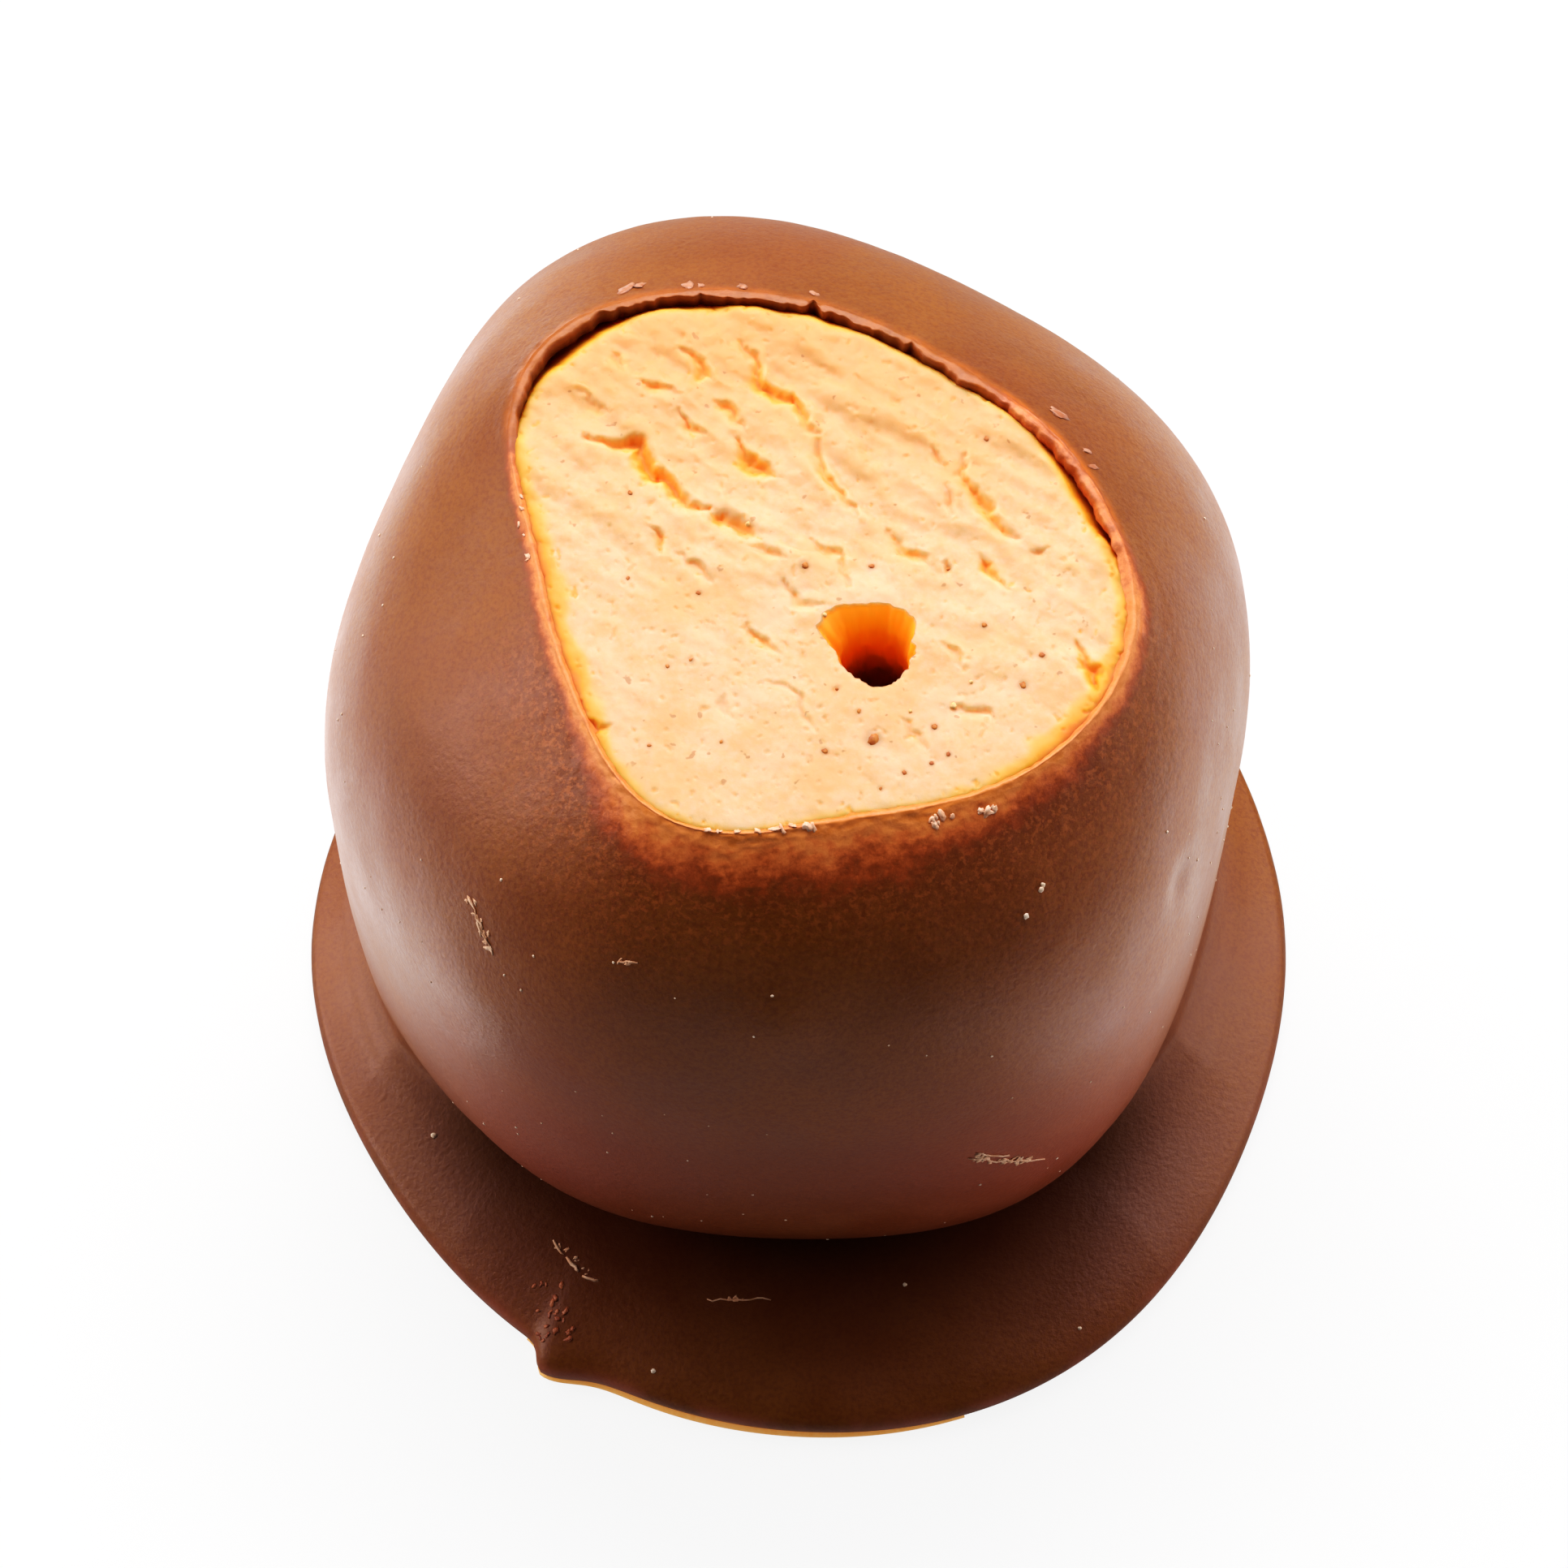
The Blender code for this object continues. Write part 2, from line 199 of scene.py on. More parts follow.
def flank(angles, t):
    waist = waistLine(angles)
    drop = ball["waistHeight"] - ball["neckHeight"]
    upper = lifted(waist, ball["waistHeight"] - ball["flankStraight"] * drop)
    share = neckInset(angles)
    lower = lifted(waist * (1 - ball["tuckShare"] * share), ball["neckHeight"] + ball["tuckRise"] * drop)
    return bezier(waist, upper, lower, neckLine(angles), t)


def footFrame(angles):
    neck = neckLine(angles)
    edge = footLine(angles)
    across = edge - neck
    across[:, 2] = 0
    return neck, edge, unit(across), np.linalg.norm(across, axis=1, keepdims=True)


def cove(angles, t):
    neck, _, out, _ = footFrame(angles)
    inner = neck - out * foot["coveHollow"]
    upper = lifted(inner, ball["neckHeight"] - foot["coveDrop"])
    lower = lifted(inner, foot["topHeight"])
    end = lifted(neck + out * foot["coveReach"], foot["topHeight"])
    return bezier(neck, upper, lower, end, t)


def footTop(angles, t):
    neck, edge, out, reach = footFrame(angles)
    start = lifted(neck + out * foot["coveReach"], foot["topHeight"])
    flatReach = foot["coveReach"] + foot["flatness"] * (reach - foot["coveReach"])
    middle = lifted(neck + out * flatReach, foot["topHeight"])
    above = lifted(edge, foot["edgeHeight"] + foot["edgeRise"])
    return bezier(start, middle, above, edge, t)


def footEdge(angles, t):
    _, edge, out, _ = footFrame(angles)
    below = lifted(edge, foot["edgeCorner"])
    corner = lifted(edge - out * foot["edgeCorner"], 0)
    end = lifted(edge - out * foot["edgeRound"], 0)
    return bezier(edge, below, corner, end, t)


def insetShoulder(angles, t, depth):
    # a shoulder point moved in, square to the surface
    step = 0.01
    along = shoulder(angles, min(t + step, 1)) - shoulder(angles, max(t - step, 0))
    out = outward(angles)
    inward = out * along[:, 2:3]
    inward[:, 2] = -(along * out).sum(axis=1)
    return shoulder(angles, t) + unit(inward) * depth[:, None]


def innerWall(angles, t, gap):
    # the coat's inner side, which soon thickens from the lip to the full wall, moved in by a gap
    lip = wave(window["lip"], angles)
    return insetShoulder(angles, t, lip + (ball["wall"] - lip) * ease(t / 0.35) + gap)


def hollow(angles, t, gap):
    # the rounded lower half of the hollow, out of sight
    start = insetShoulder(angles, 1.0, np.full_like(angles, ball["wall"] + gap))
    turn = t * math.pi / 2
    share = math.cos(turn) ** ball["hollowRoundness"]
    floor = ball["hollowFloor"] + gap
    height = start[:, 2] - (start[:, 2] - floor) * math.sin(turn)
    return np.stack((start[:, 0] * share, start[:, 1] * share, height), axis=-1)


def frameShift():
    edge = footLine(evenAngles(72))
    low, high = edge.min(axis=0), edge.max(axis=0)
    return Vector(((low[0] + high[0]) / 2, (low[1] + high[1]) / 2, 0))


shift = frameShift()


def toFrame(points):
    return (np.asarray(points, float) - np.array(shift)) * 0.001


def fractal(points, size, octaves, seed):
    # fractal noise at points, about -1 to 1, with features of a size in millimetres
    falloff, lacunarity = 0.9, 2.0
    move = Vector((seed * 7.31, seed * 3.17, seed * 5.53))
    places = [Vector(p) / size + move for p in points.reshape(-1, 3)]
    values = [noise.fractal(p, falloff, lacunarity, octaves) for p in places]
    return np.array(values).reshape(points.shape[:-1])


def addMesh(name, points, faces, material, values=None):
    data = bpy.data.meshes.new(name)
    data.from_pydata(toFrame(points).tolist(), [], faces)
    data.validate()
    data.shade_smooth()
    for key, value in (values or {}).items():
        layer = data.attributes.new(key, "FLOAT", "POINT")
        layer.data.foreach_set("value", np.asarray(value, np.float32))
    data.materials.append(material)
    piece = bpy.data.objects.new(name, data)
    scene.collection.objects.link(piece)
    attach(piece, "root")
    print(f"{name}: {len(data.vertices)} points, {len(data.polygons)} faces")
    return piece


def turned(ring):
    # the next point along the ring for each of its points
    return ring[1:] + ring[:1]


def ringFaces(rings):
    # four-sided faces between each ring of point numbers and the next
    faces = []
    for near, far in zip(rings, rings[1:]):
        faces += zip(near, turned(near), turned(far), far)
    return faces


def evenRings(first, rows, count):
    # point numbers of rings that are stored one after another
    return [list(range(first + row * count, first + (row + 1) * count)) for row in range(rows)]


def latheFaces(rows, count):
    return ringFaces(evenRings(0, rows, count))


# small helpers for the materials


def newMaterial(name):
    material = bpy.data.materials.new(name)
    material.use_nodes = True
    tree = material.node_tree
    return material, tree, tree.nodes["Principled BSDF"]


def put(tree, kind, **settings):
    node = tree.nodes.new(kind)
    for key, value in settings.items():
        setattr(node, key, value)
    return node


def setInputs(node, values):
    for key, value in values.items():
        node.inputs[key].default_value = value


def link(tree, start, end):
    tree.links.new(start, end)


def feed(tree, socket, value):
    # an output is linked to the socket, a number or a colour is written into it
    if isinstance(value, bpy.types.NodeSocket):
        link(tree, value, socket)
    else:
        socket.default_value = (*value, 1) if isinstance(value, tuple) else value


def mathNode(tree, operation, first, second):
    node = put(tree, "ShaderNodeMath", operation=operation)
    feed(tree, node.inputs[0], first)
    feed(tree, node.inputs[1], second)
    return node.outputs[0]


def mixColour(tree, factor, first, second):
    node = put(tree, "ShaderNodeMix", data_type="RGBA")
    for place, value in ((0, factor), (6, first), (7, second)):
        feed(tree, node.inputs[place], value)
    return node.outputs[2]


def layered(tree, tone, layers):
    # colours laid over a tone one after another, each with its share
    for share, colour in layers:
        tone = mixColour(tree, share, tone, colour)
    return tone


def ramp(tree, factor, stops):
    node = put(tree, "ShaderNodeValToRGB")
    band = node.color_ramp
    while len(band.elements) < len(stops):
        band.elements.new(1.0)
    for element, (place, colour) in zip(band.elements, stops):
        element.position = place
        element.color = (*colour, 1)
    link(tree, factor, node.inputs[0])
    return node.outputs[0]


def mapRange(tree, value, low, high, toLow=0.0, toHigh=1.0):
    node = put(tree, "ShaderNodeMapRange", interpolation_type="SMOOTHSTEP")
    link(tree, value, node.inputs["Value"])
    setInputs(node, {"From Min": low, "From Max": high, "To Min": toLow, "To Max": toHigh})
    return node.outputs[0]


def objectPlace(tree):
    return put(tree, "ShaderNodeTexCoord").outputs["Object"]


def noiseNode(tree, scale, detail, rough):
    node = put(tree, "ShaderNodeTexNoise")
    link(tree, objectPlace(tree), node.inputs["Vector"])
    setInputs(node, {"Scale": scale, "Detail": detail, "Roughness": rough})
    return node.outputs[0]


def patches(tree, scale, detail, low, high, least, most, rough=0.55):
    # noise as a share that rises from least to most between low and high
    return mapRange(tree, noiseNode(tree, scale, detail, rough), low, high, least, most)


def attribute(tree, name):
    return put(tree, "ShaderNodeAttribute", attribute_name=name).outputs["Fac"]


def within(tree, name, share):
    # a share that holds only where the mesh has the attribute
    return mathNode(tree, "MULTIPLY", attribute(tree, name), share)


def makeGrainGroup():
    # fine grain that chocolate and filling share: a mottled mask and a height for the bump
    group = bpy.data.node_groups.new("fineGrain", "ShaderNodeTree")
    sockets = (("Scale", "INPUT"), ("Mottle Scale", "INPUT"), ("Mottle", "OUTPUT"), ("Height", "OUTPUT"))
    for name, way in sockets:
        group.interface.new_socket(name, in_out=way, socket_type="NodeSocketFloat")
    entry = group.nodes.new("NodeGroupInput")
    leave = group.nodes.new("NodeGroupOutput")
    fine = put(group, "ShaderNodeTexNoise")
    setInputs(fine, {"Detail": 5, "Roughness": 0.6})
    broad = put(group, "ShaderNodeTexNoise")
    setInputs(broad, {"Detail": 3})
    for node, key in ((fine, "Scale"), (broad, "Mottle Scale")):
        link(group, objectPlace(group), node.inputs["Vector"])
        link(group, entry.outputs[key], node.inputs["Scale"])
    broadShare = mathNode(group, "MULTIPLY", broad.outputs[0], 0.6)
    fineShare = mathNode(group, "MULTIPLY", fine.outputs[0], 0.4)
    link(group, mathNode(group, "ADD", broadShare, fineShare), leave.inputs["Mottle"])
    link(group, fine.outputs[0], leave.inputs["Height"])
    return group


grainGroup = makeGrainGroup()


def grain(tree, scale, mottleScale):
    node = put(tree, "ShaderNodeGroup", node_tree=grainGroup)
    setInputs(node, {"Scale": scale, "Mottle Scale": mottleScale})
    return node


def addBump(tree, shader, height, strength, distance):
    node = put(tree, "ShaderNodeBump")
    setInputs(node, {"Strength": strength, "Distance": distance})
    link(tree, height, node.inputs["Height"])
    link(tree, node.outputs[0], shader.inputs["Normal"])


# milk chocolate coat
chocolate = {
    "colour": (0.3, 0.094, 0.008),
    "dark": (0.25, 0.075, 0.007),
    # dark maroon for the grain, and for the painted shade on the front side
    "front": (0.14, 0.015, 0.002),
    # painted shade: near black in the front undercut and on the wall under the back lip
    "deep": (0.05, 0.008, 0.001),
    "red": (0.245, 0.062, 0.011),
    # painted highlight along the foot's rounded edge, pinkish
    "edge": (0.48, 0.13, 0.07),
    "warm": (0.36, 0.04, 0.014),
    # painted sheen, a mauve reflection of the bright surroundings
    "paintedSheen": (0.31, 0.145, 0.11),
    "paintedSheenShare": 0.55,
    "frontShadeShare": 0.6,
    "stipple": (0.6, 0.17, 0.04),
    "lip": (0.6, 0.14, 0.012),
    # the filling glows through where the coat thins out: colours from the window outwards
    "thin": (
        (0.0, (0.72, 0.21, 0.04)),
        (0.12, (0.8, 0.26, 0.07)),
        (0.3, (0.66, 0.17, 0.04)),
        (0.55, (0.38, 0.07, 0.012)),
        (1.0, (0.15, 0.03, 0.008)),
    ),
    # noise that frays the thin part's edge: scale, detail, roughness, amount
    "fray": ((2600, 5, 0.7, 0.9), (700, 3, 0.6, 0.7)),
    # patches of a colour: noise scale and detail, where they begin and are full, least, most, roughness
    "redPatches": (130, 2, 0.45, 0.65, 0, 0.5),
    "darkGrain": (7400, 3, 0.4, 0.66, 0, 0.42, 0.7),
    "stippleGrain": (5400, 4, 0.48, 0.62, 0, 0.75, 0.7),
    "edgeHighlightPatches": (500, 3, 0.38, 0.6, 0.15, 0.8),
    "lipPatches": (1100, 3, 0.35, 0.6, 0.5, 1.0),
    "surface": {"Specular IOR Level": 0.7, "Specular Tint": (1.0, 0.73, 0.68, 1)},
    "roughness": (0.37, 0.5),
    "grainScale": 5200,
    "mottleScale": 420,
    "bump": 0.4,
    "bumpDistance": 0.00005,
}


def chocolateMaterial():
    material, tree, shader = newMaterial("milkChocolate")
    look = grain(tree, chocolate["grainScale"], chocolate["mottleScale"])
    mottle = look.outputs["Mottle"]
    fade = attribute(tree, "rimFade")
    for scale, detail, rough, amount in chocolate["fray"]:
        fray = mathNode(tree, "SUBTRACT", noiseNode(tree, scale, detail, rough), 0.5)
        fade = mathNode(tree, "ADD", fade, mathNode(tree, "MULTIPLY", fray, amount))
    tone = mixColour(tree, mapRange(tree, mottle, 0.35, 0.65), chocolate["dark"], chocolate["colour"])
    tone = layered(tree, tone, (
        (patches(tree, *chocolate["redPatches"]), chocolate["red"]),
        (patches(tree, *chocolate["darkGrain"]), chocolate["front"]),
        # painted shade on the front side, strongest just under the rim
        (within(tree, "frontGrainAndShade", chocolate["frontShadeShare"]), chocolate["front"]),
        (within(tree, "frontGrainAndShade", patches(tree, *chocolate["stippleGrain"])), chocolate["stipple"]),
        # painted shade in the front undercut and on the wall under the back lip
        (attribute(tree, "deepShade"), chocolate["deep"]),
        (attribute(tree, "warmPlace"), chocolate["warm"]),
        # painted sheen on the left side and foot
        (within(tree, "paintedSheenPlace", chocolate["paintedSheenShare"]), chocolate["paintedSheen"]),
        # painted highlight along the foot's edge
        (within(tree, "footEdge", patches(tree, *chocolate["edgeHighlightPatches"])), chocolate["edge"]),
        (within(tree, "lipTone", patches(tree, *chocolate["lipPatches"])), chocolate["lip"]),
        (mapRange(tree, fade, 0.35, 1.0, 1.0, 0.0), ramp(tree, fade, chocolate["thin"])),
    ))
    link(tree, tone, shader.inputs["Base Color"])
    link(tree, mapRange(tree, mottle, 0.3, 0.7, *chocolate["roughness"]), shader.inputs["Roughness"])
    setInputs(shader, chocolate["surface"])
    addBump(tree, shader, look.outputs["Height"], chocolate["bump"], chocolate["bumpDistance"])
    return material


coatMesh = {
    "segments": 480,
    "edgeRows": 5,
    "footRows": 16,
    "coveRows": 8,
    "flankRows": 30,
    "shoulderRows": 84,
    "nearRim": 2.2 / 1.4,  # how much the rows crowd towards the window
    "lipRows": 12,
    "innerRows": 10,
    "hollowRows": 5,
    "featherReach": 0.16,
    "featherDip": 0.2,
    # small breaks in the back lip: angle, width, depth
    "nicks": ((88, 1.0, 0.3), (109, 0.5, 0.2), (66, 0.8, 0.12), (127, 1.2, 0.15), (40, 0.7, 0.1)),
    "filletTurns": 260,  # how far the side fillets between ball and foot are smoothed
    # ridge and hollow where a side fillet meets the foot, by angle, and their heights
    "sideRidge": (
        (0, 0.6), (12, 0), (168, 0), (182, 0.6), (200, 1), (222, 0), (318, 0), (340, 1), (360, 0.6),
    ),
    "ridgeHeight": 0.13,
    "ridgeHollow": 0.12,
    # size, octaves and seed of the broad, small, fine and ragged relief, then how high they stand
    "noises": ((7.0, 2, 1), (1.4, 3, 2), (0.22, 3, 3), (0.5, 3, 4)),
    "broadRelief": 0.06,
    "smallRelief": 0.012,
    "rimRelief": (0.02, 0.03),  # fine and ragged, beside the feathered rim
    "frontRelief": 0.02,
    "backRelief": 0.04,
    # place, radius and height of the broad marks: a bulge in front and a dent at the right
    "marks": (
        ((-0.4, -13.6, 19.9), 1.3, 0.14),
        ((11.65, -7.77, 18.12), 0.7, -0.14),
        ((10.9, -9.2, 15.5), 1.6, 0.06),
    ),
    # redder chocolate low on the front, left and right: place, reach
    "warmPlace": (((-6.5, -13.0, 9.5), (5.5, 4.0, 5.5)), ((7.0, -13.0, 9.5), (5.5, 4.0, 5.5))),
    # painted sheen: a dull mauve reflection of the bright surroundings on the left side and foot, a little on
    # the right
    "paintedSheenPlace": (
        ((-13.5, -3.0, 13.0), (4.5, 6.5, 7.0)),
        ((-14.0, -4.0, 1.5), (4.0, 6.5, 2.0)),
        ((14.0, -6.5, 2.0), (3.0, 5.0, 3.0)),
    ),
}


def lipRow(angles, t):
    # crisp at the back, where the shell stands proud; a feather edge lying on the filling elsewhere
    crisp = byAngle(window["crisp"], angles)[:, None]
    lip = wave(window["lip"], angles)
    outer = shoulder(angles, 0.0)
    inner = insetShoulder(angles, 0.0, lip)
    along = unit(shoulder(angles, 0.0) - shoulder(angles, 0.02))
    inward = along.copy()
    inward[:, 2] = 0
    inward = unit(inward)
    # the broken edge: the coat runs on to a wavy corner, then goes down ragged, with a few nicks
    degrees = np.degrees(angles)
    wavy = 0.1 * fractal(outer, 0.8, 2, 15) + 0.09 * fractal(outer, 0.26, 2, 16)
    for place, width, depth in coatMesh["nicks"]:
        wavy = wavy - depth * np.exp(-(((degrees - place) / width) ** 2))
    wide = lip[:, None]
    corner = outer + inward * (wide * 0.5 + wavy[:, None])
    corner[:, 2] += 0.05
    inner = inner + inward * (wavy * 0.7)[:, None]
    if t < 0.5:
        hard = bezier(outer, outer + along * wide * 0.2, corner - inward * wide * 0.15, corner, t * 2)
    else:
        hard = bezier(corner, corner + inward * wide * 0.1, inner + along * wide * 0.2, inner, t * 2 - 1)
    tip = outer + inward * (wide / 2 + coatMesh["featherReach"])
    tip[:, 2] -= coatMesh["featherDip"]
    under = outer - inward * 0.2
    under[:, 2] -= 0.35
    soft = bezier(outer, outer + along * 0.1, tip - inward * 0.1, tip, min(t * 1.6, 1.0))
    back = ease((t - 0.6) / 0.4)
    soft = soft + (under - soft) * back
    return hard * crisp + soft * (1 - crisp)


def makeCoat():
    count = coatMesh["segments"]
    angles = evenAngles(count)
    rows, kinds, places = [], [], []

    def add(kind, curve, steps, backwards=False, crowd=1.0):
        for i in range(steps):
            t = (1 - i / steps if backwards else i / steps) ** crowd
            rows.append(curve(angles, t))
            kinds.append(kind)
            places.append(t)

    add("edge", footEdge, coatMesh["edgeRows"], True)
    add("foot", footTop, coatMesh["footRows"], True)
    add("cove", cove, coatMesh["coveRows"], True)
    add("flank", flank, coatMesh["flankRows"], True)
    add("shoulder", shoulder, coatMesh["shoulderRows"], True, coatMesh["nearRim"])
    add("lip", lipRow, coatMesh["lipRows"])
    add("inner", lambda a, t: innerWall(a, t, 0) if t else lipRow(a, 1.0), coatMesh["innerRows"])
    add("inner", lambda a, t: hollow(a, t, 0), coatMesh["hollowRows"])
    grid = np.stack(rows)
    starts = [kinds.index(kind) for kind in ("foot", "cove", "flank", "shoulder", "lip")]
    firstFoot, firstCove, firstFlank, firstShoulder, firstLip = starts

    # at the sides and the back the ball runs into the foot in a soft fillet, in front it overhangs
    soft = byAngle(ball["softSides"], angles)
    low, high = firstFoot + 4, firstFlank + coatMesh["flankRows"] // 2
    reach = np.array([math.sin(math.pi * (r - low) / (high - low)) ** 0.5 for r in range(low, high)])
    weight = 0.45 * reach[:, None, None] * soft[None, :, None]
    for turn in range(coatMesh["filletTurns"]):
        grid[low:high] += weight * ((grid[low - 1:high - 1] + grid[low + 1:high + 1]) / 2 - grid[low:high])

    # distance along the surface from the lip's outer edge, for the glow and the rim's own relief
    farAway = 30
    lengths = np.linalg.norm(np.diff(grid, axis=0), axis=2)
    distance = np.zeros(grid.shape[:2])
    for row in range(firstLip - 1, firstShoulder - 1, -1):
        distance[row] = distance[row + 1] + lengths[row]
    distance[:firstShoulder] = farAway

    crisp = byAngle(window["crisp"], angles)
    thinLip = byAngle(window["thinLip"], angles)
    fade = distance / byAngle(window["glow"], angles) + crisp * 1.5 * (1 - 0.6 * thinLip)
    lipShare = crisp * (0.45 + 0.55 * thinLip)
    lipTone = lipShare * np.exp(-((distance / 0.22) ** 2))
    sideRidge = byAngle(coatMesh["sideRidge"], angles)
    ridge, deep = np.zeros(grid.shape[:2]), np.zeros(grid.shape[:2])
    for row in range(firstShoulder):
        step = row - firstCove
        rise = coatMesh["ridgeHeight"] * math.exp(-(((step + 1) / 2.0) ** 2))
        ridge[row] = sideRidge * (rise - coatMesh["ridgeHollow"] * math.exp(-(((step - 7) / 3.0) ** 2)))
        # painted shade in the front undercut
        fall = ((step - 4) / 20) ** 4 if step > 4 else ((step - 4) / 14) ** 2
        deep[row] = (1 - soft) * 0.88 * math.exp(-fall)
    for row in range(firstLip, len(rows)):
        onLip = kinds[row] == "lip"
        t = places[row] if onLip else 1.0
        if onLip:
            fade[row] = (1 - crisp) * 0.13 + crisp * (2 - 1.65 * thinLip)
        else:
            fade[row] = 0.3 + crisp * (2 - 1.8 * thinLip)
        lipTone[row] = lipShare * (1 - 0.85 * ease((t - 0.55) / 0.3))
        # painted shade on the broken wall under the back lip too
        deep[row] = crisp * (1 - 0.95 * thinLip) * 0.9 * ease((t - 0.5) / 0.2)

    # relief: broad dents, small unevenness and the rough grain under the front rim
    across = np.roll(grid, -1, axis=1) - np.roll(grid, 1, axis=1)
    normal = unit(np.cross(across, np.gradient(grid, axis=0)))
    broad, small, fine, ragged = (fractal(grid, *settings) for settings in coatMesh["noises"])
    lipZone = np.array([kind == "lip" for kind in kinds])[:, None]
    outside = np.array([kind not in ("inner", "edge") for kind in kinds])[:, None]
    frontness = np.clip(-np.sin(angles), 0, 1)
    relief = coatMesh["broadRelief"] * broad + coatMesh["smallRelief"] * small + ridge
    for place, radius, height in coatMesh["marks"]:
        relief += height * np.exp(-(((grid - np.array(place)) ** 2).sum(axis=2) / radius**2))
    fineShare, raggedShare = coatMesh["rimRelief"]
    relief += np.exp(-distance / 1.2) * (1 - crisp) * (fineShare * fine + raggedShare * ragged)
    relief += np.exp(-distance / 2.5) * frontness * coatMesh["frontRelief"] * fine
    relief += np.exp(-distance / 0.35) * crisp * coatMesh["backRelief"] * ragged
    relief *= outside * (1 - 0.3 * lipZone)
    relief = np.where(distance > farAway - 1, relief * 0.5, relief)
    grid = grid + normal * relief[..., None]
    grid[..., 2] = np.maximum(grid[..., 2], 0.0)

    points = np.concatenate((grid.reshape(-1, 3), [[0, 0, 0], [0, 0, ball["hollowFloor"]]]))
    faces = latheFaces(len(rows), count)
    base, floor, last = len(points) - 2, len(points) - 1, (len(rows) - 1) * count
    for i in range(count):
        j = (i + 1) % count
        faces += [(base, j, i), (floor, last + i, last + j)]

    # what the material reads: shares of its colours, with a painted highlight along the foot's edge,
    # strongest in front
    away = np.linalg.norm(grid - grid[firstFoot][None], axis=2)
    footEdgeHighlight = np.exp(-((away / 0.32) ** 2)) * (0.25 + 0.75 * frontness)
    footEdgeHighlight[firstCove:] = 0
    fields = {"rimFade": fade, "lipTone": lipTone, "deepShade": deep, "footEdge": footEdgeHighlight}
    # painted shade on the front side near the rim, where the coarse grain also lies
    fields["frontGrainAndShade"] = np.exp(-distance / 2.6) * np.clip(frontness * 1.3, 0, 1)
    for name in ("warmPlace", "paintedSheenPlace"):
        spots = [((grid - np.array(place)) / reach) ** 2 for place, reach in coatMesh[name]]
        near = sum(np.exp(-np.sum(spot, axis=2)) for spot in spots)
        fields[name] = 0.8 * near / (0.6 + near)
    ends = {"rimFade": (farAway, 1)}  # in the middle of the underside and of the hollow's floor
    values = {name: np.append(field.reshape(-1), ends.get(name, (0, 0))) for name, field in fields.items()}
    piece = addMesh("chocolateCoat", points, faces, chocolateMaterial(), values)
    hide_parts("chocolate_coat")
    return piece


# peanut butter filling
filling = {
    "colour": (0.78, 0.455, 0.21),
    "pale": (0.82, 0.52, 0.3),
    "warm": (0.78, 0.35, 0.1),
    "speck": (0.45, 0.13, 0.03),
    # painted glow and shade: from the top's own colour through orange in the cracks to near black deep in the
    # hole
    "creviceGlowAndShade": (
        (0.0, (0.82, 0.52, 0.3)),
        (0.2, (0.95, 0.46, 0.11)),
        (0.45, (0.93, 0.34, 0.015)),
        (0.72, (0.92, 0.15, 0.002)),
        (1.0, (0.3, 0.03, 0.002)),
    ),
    # noise scale and detail, where the patches begin and are full, least, most, roughness
    "warmPatches": (300, 3, 0.45, 0.72, 0, 0.35),
    "freckles": (2300, 2, 0.69, 0.74, 0, 0.55, 0.5),
    "surface": {
        "Roughness": 0.55,
        "Subsurface Weight": 0.85,
        "Subsurface Radius": (1.0, 0.75, 0.5),
        "Subsurface Scale": 0.0011,
        # strength of the painted glow on the hole's back wall
        "Emission Strength": 0.4,
    },
    "holeGlow": (1.0, 0.38, 0.004),  # painted glow: emission on the hole's back wall in place of light soaking through the crumbled mouth
    "grainScale": 4200,
    "mottleScale": 650,
    "bump": 0.2,
    "bumpDistance": 0.00004,
    "topHeight": 24.6,
    "dome": 0.15,
    "spacing": 0.062,
    "gap": 0.3,  # to the coat, out of sight
    "bore": (2.43, -3.6),
    "boreRadius": 0.98,
    # the crumbled mouth of the hole: its reach from the bore's middle, by angle
    "mouth": (
        (0, 1.08), (18, 1.12), (35, 1.42), (47, 1.62), (65, 1.6), (90, 1.58), (110, 1.72), (128, 1.88),
        (145, 1.98), (155, 1.95), (166, 1.55), (180, 1.18), (200, 1.06), (225, 1.04), (250, 1.12), (270, 1.2),
        (295, 1.1), (332, 1.04), (360, 1.08),
    ),
    "holeDepth": 9.0,
    "lumps": 0.15,
    "crumb": 0.022,
}

